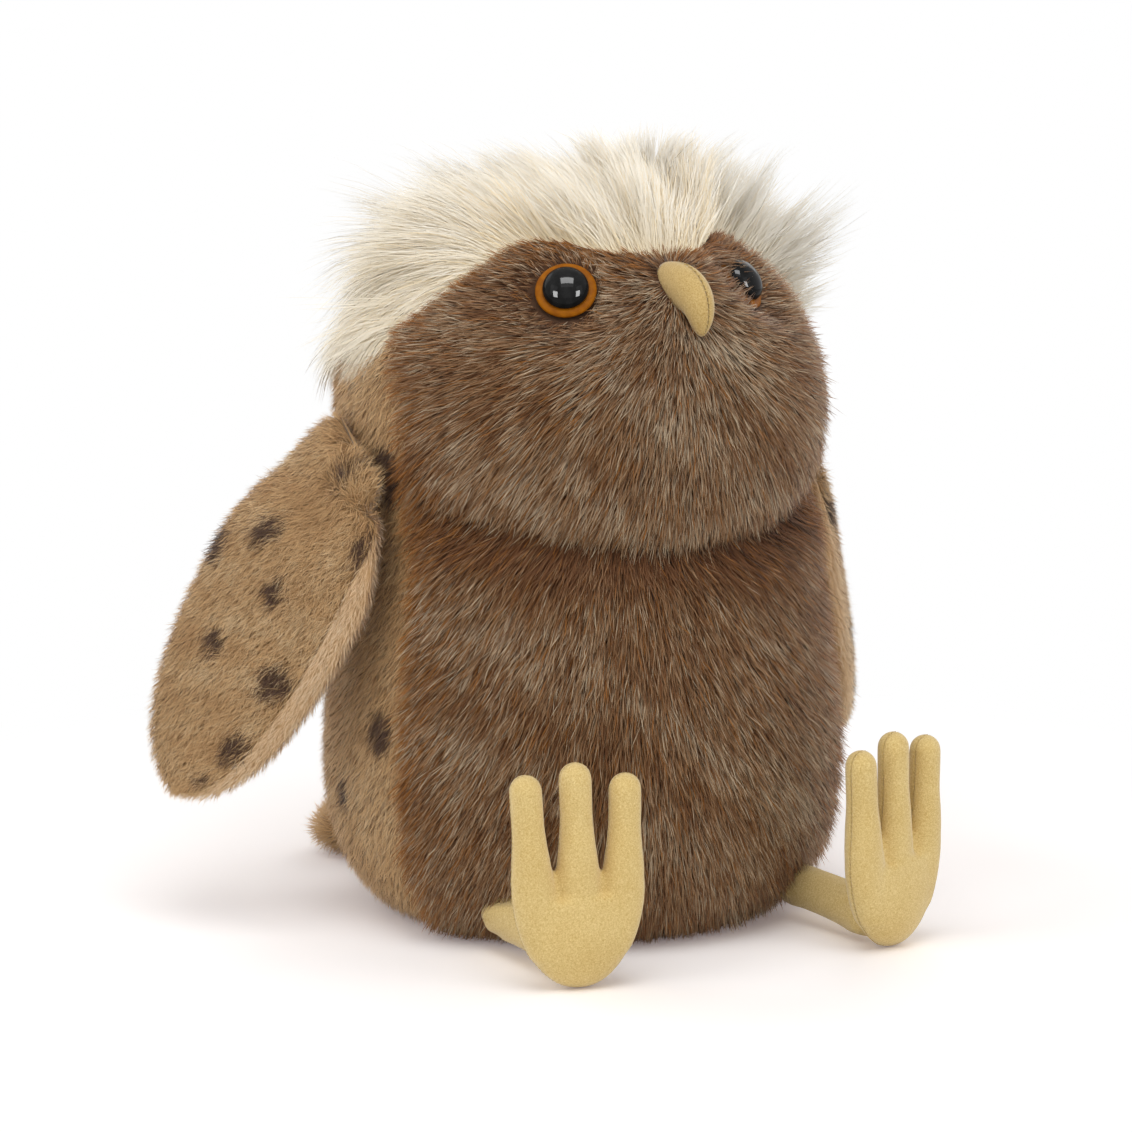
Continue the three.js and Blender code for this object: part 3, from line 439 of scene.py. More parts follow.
def strand_object(name: str, points: Array, faces: Array, uv: Array,
                  normals: Array) -> Piece:
    """A mesh of many small triangles with its own UVs and normals.

    Args:
        name: Piece name.
        points: Points in millimetres.
        faces: Triangles.
        uv: One UV a point.
        normals: One shading normal a point.

    Returns:
        The object.
    """
    mesh = bpy.data.meshes.new(name)
    mesh.vertices.add(len(points))
    mesh.vertices.foreach_set("co", (points * MM).astype(np.float32).ravel())
    mesh.loops.add(faces.size)
    mesh.loops.foreach_set("vertex_index", faces.astype(np.int32).ravel())
    mesh.polygons.add(len(faces))
    mesh.polygons.foreach_set("loop_start", np.arange(0, faces.size, 3, dtype=np.int32))
    mesh.update(calc_edges=True)
    mesh.shade_smooth()
    layer = mesh.uv_layers.new(name=BAKE_UV)
    layer.uv.foreach_set("vector", uv[faces.ravel()].astype(np.float32).ravel())
    mesh.normals_split_custom_set_from_vertices(normals.astype(np.float32))
    return new_object(name, mesh)


@dataclass(frozen=True)
class Patch:
    """A grid over a surface, with the fields that strands read from it."""

    points: Array
    fields: dict

    def scatter(self, density: float, seed: int) -> dict:
        """Spreads roots evenly over the surface.

        Args:
            density: Roots in a square millimetre.
            seed: Seed of the random draws.

        Returns:
            Each field at the roots, with "point", "normal", "du" and "dv" added.
        """
        rng = np.random.default_rng(seed)
        p = self.points
        du = unit(np.gradient(p, axis=0))
        dv = unit(np.gradient(p, axis=1))
        area = np.linalg.norm(np.cross(p[1:, :-1] - p[:-1, :-1], p[:-1, 1:] - p[:-1, :-1]), axis=-1)
        count = int(area.sum() * density)
        edges = np.cumsum(area.ravel()) / area.sum()
        pick = np.minimum(np.searchsorted(edges, rng.random(count)), area.size - 1)
        i, j = np.unravel_index(pick, area.shape)
        a, b = rng.random((2, count))

        def at(grid: Array) -> Array:
            """The grid's value at each root, blended from the four corners.

            Args:
                grid: Values at the grid's points.

            Returns:
                Values at the roots.
            """
            w = (a, b) if grid.ndim == 2 else (a[:, None], b[:, None])
            low = lerp(grid[i, j], grid[i + 1, j], w[0])
            return lerp(low, lerp(grid[i, j + 1], grid[i + 1, j + 1], w[0]), w[1])

        found = {key: at(value) for key, value in self.fields.items()}
        found |= {"point": at(p), "du": unit(at(du)), "dv": unit(at(dv))}
        found["normal"] = unit(np.cross(found["du"], found["dv"]))
        return found


def patchy(points: Array, size: float, seed: int) -> Array:
    """Soft random variation over space.

    Args:
        points: Points in millimetres.
        size: Size of the patches.
        seed: Seed of the random waves.

    Returns:
        Values from about -1 to 1.
    """
    rng = np.random.default_rng(seed)
    total = np.zeros(len(points))
    for _ in range(9):
        wave = rng.normal(0, 1, 3)
        total += np.sin(points @ wave * (2.2 / size) + rng.random() * 2 * math.pi)
    return total / 4.5


# Finishes

def fill(node: Node, values: dict) -> Node:
    """Sets a node's inputs to constants, or joins them to the sockets that give their values.

    Args:
        node: The node.
        values: Constants and sockets by the input's name, with _ for a space, or its number.

    Returns:
        The node.
    """
    for key, value in values.items():
        socket = node.inputs[key.replace("_", " ") if isinstance(key, str) else key]
        if isinstance(value, Socket):
            node.id_data.links.new(value, socket)
        else:
            socket.default_value = value
    return node


def added(tree: Tree, kind: str, values: dict | None = None, **settings: object) -> Node:
    """A new shader node.

    Args:
        tree: The node tree.
        kind: Kind of node.
        values: What its inputs are filled with.
        **settings: The node's own settings.

    Returns:
        The node.
    """
    node = tree.nodes.new(f"ShaderNode{kind}")
    for key, value in settings.items():
        setattr(node, key, value)
    return fill(node, values or {})


def math_node(tree: Tree, kind: str, *values: object) -> Socket:
    """The result of a Math node with these sockets or numbers as its inputs."""
    return added(tree, "Math", dict(enumerate(values)), operation=kind).outputs[0]


def mixed(tree: Tree, share: object, a: object, b: object) -> Socket:
    """A blend of two colours or sockets, the first at share 0."""
    return added(tree, "Mix", {0: share, 6: a, 7: b}, data_type="RGBA").outputs[2]


def ranged(tree: Tree, value: object, low: float, high: float, to_low: float = 0.0, to_high: float = 1.0) -> Socket:
    """A value mapped from one range to another, smoothly and clamped."""
    values = {"Value": value, "From Min": low, "From Max": high, "To Min": to_low, "To Max": to_high}
    return added(tree, "MapRange", values, interpolation_type="SMOOTHSTEP").outputs[0]


def noise(tree: Tree, size: float, detail: float = 2.0) -> Socket:
    """Noise in the object's own space, with features of a size in millimetres."""
    place = added(tree, "TexCoord").outputs["Object"]
    return added(tree, "TexNoise", {"Scale": 1 / (size * MM), "Detail": detail, "Vector": place}).outputs[0]


class Effects:
    """Node groups that several finishes share, each built once."""

    @staticmethod
    def group(name: str, inputs: dict, outputs: dict) -> tuple[Tree, dict, Node]:
        """An empty group with named sockets.

        Args:
            name: Group name.
            inputs: Socket kind and default by name.
            outputs: Socket kind by name.

        Returns:
            The tree, its input sockets and its output node.
        """
        tree = bpy.data.node_groups.new(name, "ShaderNodeTree")
        for key, (kind, value) in inputs.items():
            tree.interface.new_socket(key, in_out="INPUT", socket_type=kind).default_value = value
        for key, kind in outputs.items():
            tree.interface.new_socket(key, in_out="OUTPUT", socket_type=kind)
        start, end = tree.nodes.new("NodeGroupInput"), tree.nodes.new("NodeGroupOutput")
        return tree, start.outputs, end

    @classmethod
    @cache
    def pile_tone(cls) -> Tree:
        """Colour of a fibre: dark at its root, its own tone at the tip, with accent fibres.

        Returns:
            The group.
        """
        tints = ("Root", "Dark Tip", "Middle Tip", "Light Tip", "Accent Root", "Accent Tip")
        inputs = {key: ("NodeSocketColor", (1.0, 1.0, 1.0, 1.0)) for key in tints}
        tree, give, end = cls.group("pile_tone", inputs | {"Rise": ("NodeSocketFloat", 1.0)},
                                    {"Color": "NodeSocketColor", "Roughness": "NodeSocketFloat"})
        chart = added(tree, "UVMap", uv_map=BAKE_UV)
        tone, height = added(tree, "SeparateXYZ", {0: chart.outputs[0]}).outputs[:2]
        low = mixed(tree, ranged(tree, tone, 0.2, 0.58), give["Dark Tip"], give["Middle Tip"])
        tip = mixed(tree, ranged(tree, tone, 0.55, 0.95), low, give["Light Tip"])
        climb = math_node(tree, "POWER", height, give["Rise"])
        plain = mixed(tree, climb, give["Root"], tip)
        accent = mixed(tree, climb, give["Accent Root"], give["Accent Tip"])
        spot = ranged(tree, tone, 0.13, 0.17, 1.0, 0.0)
        fill(end, {"Color": mixed(tree, spot, plain, accent), "Roughness": ranged(tree, height, 0.0, 1.0, 0.8, 0.5)})
        return tree

    @classmethod
    @cache
    def nap(cls) -> Tree:
        """Short nap and speckle of a brushed cloth: a tone, a height and a roughness.

        Returns:
            The group.
        """
        tree, give, end = cls.group("nap", {"Amount": ("NodeSocketFloat", 1.0)},
                                    dict.fromkeys(("Tone", "Height", "Roughness"), "NodeSocketFloat"))
        fine, middle, wide = noise(tree, 0.28, 1.0), noise(tree, 0.5, 1.0), noise(tree, 14.0, 1.0)
        grain = math_node(tree, "ADD", math_node(tree, "MULTIPLY", fine, 0.55),
                          math_node(tree, "MULTIPLY", middle, 0.45))
        tone = math_node(tree, "ADD", math_node(tree, "MULTIPLY", grain, 0.88),
                         math_node(tree, "MULTIPLY", wide, 0.12))
        spread = math_node(tree, "MULTIPLY", math_node(tree, "SUBTRACT", tone, 0.5), give["Amount"])
        fill(end, {"Tone": math_node(tree, "ADD", spread, 0.5), "Height": grain,
                   "Roughness": ranged(tree, fine, 0.3, 0.7, 0.78, 0.98)})
        return tree


@dataclass(frozen=True)
class Finish:
    """What every finish has: a name and a shader."""

    name: str

    def base(self, roughness: float, **constants: float) -> tuple[Material, Tree, Node]:
        """A material with a Principled shader.

        Args:
            roughness: Plain roughness.
            **constants: Other sockets by name, with _ for a space.

        Returns:
            The material, its tree and its shader.
        """
        material = bpy.data.materials.new(self.name)
        material.use_nodes = True
        tree = material.node_tree
        return material, tree, fill(tree.nodes["Principled BSDF"], {"Roughness": roughness} | constants)


@dataclass(frozen=True)
class PileFinish(Finish):
    """Fibres of a pile fabric."""

    root: str
    dark: str
    middle: str
    light: str
    accent_root: str
    accent_tip: str
    rise: float = 1.0
    sheen: float = 0.25
    # Strength of a painted glow that lightens the shade among the fibres.
    painted_glow: float = 0.0

    def make(self) -> Material:
        """The fibres' material; pale ones get a faint painted glow in their own colour, which lightens the shade among
        them.

        Returns:
            The material.
        """
        material, tree, shader = self.base(0.65, Sheen_Weight=self.sheen, Sheen_Roughness=0.5,
                                           Specular_IOR_Level=0.3, Emission_Strength=self.painted_glow)
        tints = {"Root": self.root, "Dark Tip": self.dark, "Middle Tip": self.middle, "Light Tip": self.light,
                 "Accent Root": self.accent_root, "Accent Tip": self.accent_tip}
        tone = fill(added(tree, "Group", node_tree=Effects.pile_tone()),
                    {key: linear(tint) for key, tint in tints.items()} | {"Rise": self.rise})
        fill(shader, {"Base Color": tone.outputs["Color"], "Roughness": tone.outputs["Roughness"]})
        # Painted glow: the fibres emit their own colour faintly, so their shade looks lighter.
        if self.painted_glow:
            fill(shader, {"Emission Color": tone.outputs["Color"]})
        return material


@dataclass(frozen=True)
class NapFinish(Finish):
    """A brushed cloth such as suede, backing cloth, felt or fibre filling."""

    dark: str
    light: str
    amount: float = 2.2
    bump: float = 0.35
    depth: float = 0.12
    sheen: float = 0.4

    def make(self) -> Material:
        """The cloth's material.

        Returns:
            The material.
        """
        material, tree, shader = self.base(0.9, Sheen_Weight=self.sheen, Sheen_Roughness=0.45,
                                           Specular_IOR_Level=0.2)
        nap = fill(added(tree, "Group", node_tree=Effects.nap()), {"Amount": self.amount})
        colour = mixed(tree, nap.outputs["Tone"], linear(self.dark), linear(self.light))
        relief = added(tree, "Bump", {"Strength": self.bump, "Distance": self.depth * MM,
                                      "Height": nap.outputs["Height"]})
        fill(shader, {"Base Color": colour, "Roughness": nap.outputs["Roughness"], "Normal": relief.outputs[0]})
        return material


@dataclass(frozen=True)
class GlossFinish(Finish):
    """Moulded plastic of the eyes, with faint dust in its gloss."""

    dark: str
    light: str
    roughness: float
    specular: float = 0.5

    def make(self) -> Material:
        """The plastic's material.

        Returns:
            The material.
        """
        material, tree, shader = self.base(self.roughness, Specular_IOR_Level=self.specular)
        tone = ranged(tree, noise(tree, 2.4, 3.0), 0.3, 0.7)
        dust = ranged(tree, noise(tree, 0.7, 2.0), 0.6, 0.9, self.roughness, self.roughness + 0.04)
        fill(shader, {"Base Color": mixed(tree, tone, linear(self.dark), linear(self.light)), "Roughness": dust})
        return material


class Finishes:
    """All finishes of the owl, made once and shared."""

    kinds = (
        PileFinish("brown_fibre", "#4c270c", "#744719", "#a68058", "#d6c1a2", "#643605", "#a0641d", 0.9),
        PileFinish("tan_fibre", "#a37a4c", "#c69b69", "#e2ba86", "#f6dcb0", "#3a2518", "#5f4330", 0.7),
        PileFinish("pale_fibre", "#d2ac7e", "#eac79b", "#f5d7ae", "#fdebcd", "#c39b6e", "#e4c095", 0.7),
        # The ivory fibre's last number is its painted glow.
        PileFinish("ivory_fibre", "#ebdcbc", "#ede2cb", "#f2ebdd", "#f8f5ee", "#ead6ab", "#f1dfbd", 0.6, 0.45, 0.06),
        NapFinish("brown_backing", "#3a2414", "#553821"),
        NapFinish("beak_suede", "#ad8947", "#d8be84", 2.4, 0.8, 0.25, 0.4),
        NapFinish("pale_backing", "#c09a6d", "#d6b184"),
        NapFinish("tan_backing", "#7a5e40", "#94764f"),
        NapFinish("ivory_backing", "#e2d3b0", "#efe4ca"),
        NapFinish("suede", "#c39f55", "#efd89c", 2.4, 0.8, 0.25, 0.4),
        NapFinish("thread", "#b89a58", "#d9c084", 1.2, 0.3, 0.05, 0.2),
        GlossFinish("black_dome", "#040404", "#080808", 0.03, 0.07),
        GlossFinish("amber_ring", "#8a4d03", "#a05f06", 0.5, 0.1),
        GlossFinish("nylon_washer", "#d9d6cc", "#eeece6", 0.45),
    )

    @classmethod
    @cache
    def get(cls, name: str) -> Material:
        """A finish by name, made on first use."""
        return next(kind for kind in cls.kinds if kind.name == name).make()


def dress(obj: Piece, finish: str, body: str, replaced: tuple = ()) -> Piece:
    """Gives a piece its finish and says what it rides on and stands for.

    Args:
        obj: The piece.
        finish: Name of its finish.
        body: CAD body that it moves with.
        replaced: CAD nodes that it stands for.

    Returns:
        The piece.
    """
    obj.data.materials.clear()
    obj.data.materials.append(Finishes.get(finish))
    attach(obj, body)
    if replaced:
        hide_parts(*replaced)
    log.info("%s rides on %s: %d faces", obj.name, body, len(obj.data.polygons))
    return obj


# Camera, floor and light

def view_from(azimuth: float, elevation: float) -> tuple[Vector, ...]:
    """Right, up and outward directions of a viewpoint, from its degrees round and above the front."""
    cos, sin = math.cos(math.radians(elevation)), math.sin(math.radians(elevation))
    return tuple(Vector(around(azimuth + turn, r, z)) for turn, r, z in ((90, 1, 0), (0, -sin, cos), (0, cos, sin)))


def stand(name: str, data: bpy.types.ID, place: Vector, out: Vector) -> Piece:
    """A camera or lamp at a place in millimetres, which looks against the outward direction.

    Args:
        name: Name of the object.
        data: Its camera or lamp.
        place: Where it stands, in millimetres.
        out: Direction that it looks away from.

    Returns:
        The object.
    """
    obj = new_object(name, data)
    obj.location = place * MM
    obj.rotation_mode = "QUATERNION"
    obj.rotation_quaternion = (-out).to_track_quat("-Z", "Y")
    return obj


@dataclass(frozen=True)
class PhotoCamera:
    """The photograph's viewpoint."""

    azimuth: float = -31.0
    elevation: float = 9.0
    distance: float = 1080.0
    pixel: float = 0.30
    frame_pixels: int = 1132
    aim_right: float = -3.6
    aim_up: float = 99.0
    sensor: float = 36.0
    clip_m: tuple = (0.05, 20)

    def build(self) -> None:
        """Makes the camera and sets it as the scene's."""
        right, up, out = view_from(self.azimuth, self.elevation)
        data = bpy.data.cameras.new("photo_camera")
        data.sensor_width = self.sensor
        data.lens = self.sensor * self.distance / (self.pixel * self.frame_pixels)
        data.clip_start, data.clip_end = self.clip_m
        place = right * self.aim_right + up * self.aim_up + out * self.distance
        bpy.context.scene.camera = stand("photo_camera", data, place, out)


@dataclass(frozen=True)
class Softbox:
    """One soft studio light, placed by its direction from the owl."""

    name: str
    azimuth: float
    elevation: float
    distance: float
    width: float
    height: float
    power: float
    aim: tuple = (0.0, 0.0, 110.0)

    def build(self, only: tuple = ()) -> None:
        """Makes the light, for some pieces only where they are given.

        Args:
            only: The pieces that it lights, or none for all.
        """
        out = view_from(self.azimuth, self.elevation)[2]
        data = bpy.data.lights.new(self.name, "AREA")
        data.shape = "RECTANGLE"
        data.size, data.size_y, data.energy = self.width * MM, self.height * MM, self.power
        lamp = stand(self.name, data, Vector(self.aim) + out * self.distance, out)
        if only:
            lit = bpy.data.collections.new(self.name)
            for piece in only:
                lit.objects.link(piece)
            lamp.light_linking.receiver_collection = lit


@dataclass(frozen=True)
class Studio:
    """Pale floor, white backdrop and soft lights."""

    lamps: tuple = (
        Softbox("top_box", -30, 62, 1000, 620, 620, 3.6),
        Softbox("left_box", -82, 26, 1100, 520, 700, 1.9),
        Softbox("right_box", 22, 24, 1100, 520, 700, 1.8),
        Softbox("back_right_box", 128, 34, 1200, 700, 700, 2.4),
        Softbox("back_left_box", -150, 34, 1200, 700, 700, 2.4),
    )
    world_tint: tuple = (1, 0.99, 0.97, 1)
    world_light: float = 0.52
    floor_radius: float = 3000.0
    shade_inner: float = 130.0
    shade_outer: float = 330.0
    floor_glow: tuple = (0.15, 0.12, 0.12, 1.0)

    def build(self) -> None:
        """Makes the stage."""
        bpy.context.scene.view_settings.view_transform = "Standard"
        for lamp in self.lamps:
            lamp.build()
        self.world()
        self.floor()

    def world(self) -> None:
        """Soft light from all round, plain white to the camera and in gloss."""
        world = bpy.data.worlds.new("studio")
        bpy.context.scene.world = world
        world.use_nodes = True
        tree = world.node_tree
        tree.nodes.clear()
        path = added(tree, "LightPath")
        seen = math_node(tree, "MAXIMUM", path.outputs["Is Camera Ray"], path.outputs["Is Transmission Ray"])
        seen = math_node(tree, "MAXIMUM", seen, path.outputs["Is Glossy Ray"])
        light = added(tree, "Background", {0: self.world_tint, 1: self.world_light})
        white = added(tree, "Background", {0: (1, 1, 1, 1)})
        mix = added(tree, "MixShader", {0: seen, 1: light.outputs[0], 2: white.outputs[0]})
        added(tree, "OutputWorld", {0: mix.outputs[0]})

    def floor(self) -> None:
        """A pale floor that keeps the owl's shadow and is white further out."""
        bm = bmesh.new()
        bmesh.ops.create_circle(bm, cap_ends=True, segments=96, radius=self.floor_radius * MM)
        mesh = bpy.data.meshes.new("floor")
        bm.to_mesh(mesh)
        bm.free()
        obj = new_object("floor", mesh)
        material, tree, shader = Finish("floor_paper").base(0.9, Specular_IOR_Level=0.1)
        fill(shader, {"Base Color": mixed(tree, noise(tree, 60, 2.0), linear("#fbfaf9"), linear("#ffffff"))})
        place = added(tree, "TexCoord").outputs["Object"]
        length = added(tree, "VectorMath", {0: place}, operation="LENGTH").outputs["Value"]
        far = ranged(tree, length, self.shade_inner * MM, self.shade_outer * MM)
        seen = added(tree, "LightPath").outputs["Is Camera Ray"]
        white, mix = added(tree, "Emission"), added(tree, "MixShader")
        glow = added(tree, "Emission", {"Color": self.floor_glow, "Strength": seen})
        both = added(tree, "AddShader", {0: shader.outputs[0], 1: glow.outputs[0]})
        fill(mix, {0: math_node(tree, "MULTIPLY", far, seen), 1: both.outputs[0], 2: white.outputs[0]})
        fill(tree.nodes["Material Output"], {"Surface": mix.outputs[0]})
        mesh.materials.append(material)


# The body: torso and head in one form

@dataclass(frozen=True)
class BodyForm:
    """The sewn body's outer form, as the CAD source has it."""

    base_radius: float = 44.0
    belly_radius: float = 74.5
    belly_height: float = 46.0
    neck_radius: float = 67.5
    neck_height: float = 122.0
    head_radius: float = 70.5
    head_height: float = 150.0
    crown_height: float = 210.0
    base_roundness: float = 2.3
    torso_turn_deg: float = -5.0
    turn_start_share: float = -0.6
    chest_seam_deg: float = 66.0
    face_seam_deg: float = 86.0
    seam_start_share: float = -0.5
    seam_dip_deg: float = 13.0
    seam_dip_height: float = 152.0
    seam_dip_width: float = 20.0
    chin_front_height: float = 115.0
    chin_side_height: float = 129.0
    chin_side_deg: float = 78.0
    chin_rise_power: float = 1.6
    chin_tuck_depth: float = 5.0
    chin_tuck_width: float = 7.0
    chin_fade_deg: float = 52.0
    crest_front_height: float = 195.0
    crest_back_height: float = 163.8
    crest_brow_rise: float = 4.0
    crest_brow_deg: float = 42.0
    crest_brow_width_deg: float = 18.0
    crest_fall_start_deg: float = 50.0
    crest_fall_end_deg: float = 100.0
    eye_left_deg: float = 32.0
    eye_right_deg: float = -35.0
    eye_height: float = 187.8
    eye_tilt_share: float = 0.72
    eye_sink_depth: float = 5.0
    eye_sink_flat: float = 9.0
    eye_sink_radius: float = 20.0

    def profile(self, station: Array) -> tuple[Array, Array]:
        """Radius and height of the plain form.

        Args:
            station: 0 base, 1 belly, 2 neck, 3 head, 4 crown.

        Returns:
            Radius and height.
        """
        s = np.clip(np.asarray(station, float), 0, 4)
        part = np.minimum(s.astype(int), 3)
        share = s - part
        a = share * QUARTER
        ease = (1 - np.cos(2 * a)) / 2
        power = 2 / self.base_roundness
        cos_a, sin_a = np.clip(np.cos(a), 0, 1), np.clip(np.sin(a), 0, 1)
        which = [part == 0, part == 1, part == 2]
        r = np.select(which, [lerp(self.base_radius, self.belly_radius, sin_a**power),
                              lerp(self.belly_radius, self.neck_radius, ease),
                              lerp(self.neck_radius, self.head_radius, ease)], self.head_radius * cos_a)
        z = np.select(which, [self.belly_height * (1 - cos_a**power),
                              lerp(self.belly_height, self.neck_height, share),
                              lerp(self.neck_height, self.head_height, share)],
                      lerp(self.head_height, self.crown_height, sin_a))
        return r, z

    def station_of(self, z: Array) -> Array:
        """Stations at heights."""
        stations = np.linspace(0, 4, 1601)
        return np.interp(z, self.profile(stations)[1], stations)

    def chin_height(self, deg: Array) -> Array:
        """Height of the chin seam at an angle from the front."""
        share = np.minimum(np.abs(deg) / self.chin_side_deg, 1)
        return lerp(self.chin_front_height, self.chin_side_height, share**self.chin_rise_power)

    def crest_height(self, deg: Array) -> Array:
        """Height of the crest seam at an angle from the front.

        Args:
            deg: Angles round the toy.

        Returns:
            Heights of the crest's edge.
        """
        fall = smooth(np.abs(deg), self.crest_fall_start_deg, self.crest_fall_end_deg)
        brow = bump(np.abs(deg), self.crest_brow_deg, self.crest_brow_width_deg)
        return lerp(self.crest_front_height, self.crest_back_height, fall) + self.crest_brow_rise * brow

    def head_share(self, z: Array) -> Array:
        """Share of the way from the neck up to the middle of the head."""
        return (z - self.neck_height) / (self.head_height - self.neck_height)

    def seam_deg(self, z: Array) -> Array:
        """Angle of the seam between the front and the side panels at a height."""
        dip = self.seam_dip_deg * bump(z, self.seam_dip_height, self.seam_dip_width)
        return lerp(self.chest_seam_deg, self.face_seam_deg, smooth(self.head_share(z), self.seam_start_share, 1)) - dip

    def turn(self, z: Array) -> Array:
        """Turn of the torso under the head at a height, in degrees."""
        return self.torso_turn_deg * (1 - smooth(self.head_share(z), self.turn_start_share, 1))

    def eye_seat(self, side: Side) -> tuple[Array, Array]:
        """Middle of an eye on the plain head, and the unit axis along which it looks."""
        (r, z), deg = self.profile(self.station_of(self.eye_height)), self.eye_angle(side)
        return around(deg, r, z), unit(around(deg, r / self.head_radius**2, self.eye_lean(z) * self.eye_tilt_share))

    def eye_angle(self, side: Side) -> float:
        """Angle of an eye from the front."""
        return side.pick(self.eye_left_deg, self.eye_right_deg)

    def eye_lean(self, z: Number) -> Array:
        """Upward part of the plain head's normal at a height."""
        return (z - self.head_height) / (self.crown_height - self.head_height) ** 2

    def sunk(self, deg: Array, station: Array) -> tuple[Array, Array]:
        """Radius and height with the chin tuck and the eye hollows.

        Args:
            deg: Angles from the front.
            station: Stations.

        Returns:
            Radius and height.
        """
        r, z = self.profile(station)
        fade = 1 - smooth(np.abs(deg), self.chin_fade_deg, self.chin_side_deg)
        sunk = self.chin_tuck_depth * fade * bump(z, self.chin_height(deg), self.chin_tuck_width)
        eye_r, eye_z = self.profile(self.station_of(self.eye_height))
        slope = self.eye_lean(eye_z) / (eye_r / self.head_radius**2) * (1 - self.eye_tilt_share)
        for side in Side:
            away = np.linalg.norm(around(deg, r, z) - self.eye_seat(side)[0], axis=-1)
            near = 1 - smooth(away, self.eye_sink_flat, self.eye_sink_radius)
            sunk = sunk + (self.eye_sink_depth - slope * (z - self.eye_height)) * near
        return np.maximum(r - sunk, 0), z

    def point(self, deg: Array, station: Array, out: Number = 0.0) -> Array:
        """Points of the form, moved out along its normal.

        Args:
            deg: Angles from the front.
            station: Stations.
            out: Distance outward.

        Returns:
            Points in the last axis.
        """
        deg, station = np.broadcast_arrays(np.asarray(deg, float), np.asarray(station, float))
        step = 1 / 400
        low_r, low_z = self.sunk(deg, np.maximum(station - step, 0))
        high_r, high_z = self.sunk(deg, np.minimum(station + step, 4))
        run = np.hypot(high_r - low_r, high_z - low_z)
        r, z = self.sunk(deg, station)
        r = r + out * (high_z - low_z) / run
        z = z - out * (high_r - low_r) / run
        return around(deg + self.turn(z), np.maximum(r, 0), z)

    def eye_floor(self, side: Side) -> tuple[Array, Array]:
        """Bottom of an eye's hollow, and the unit axis along which the eye looks.

        Args:
            side: Which eye.

        Returns:
            The bottom of the hollow and the way that the eye looks.
        """
        place, axis = self.eye_seat(side)
        floor = self.point(self.eye_angle(side), self.station_of(self.eye_height))
        return place - axis * ((place - floor) @ axis), axis


FORM = BodyForm()


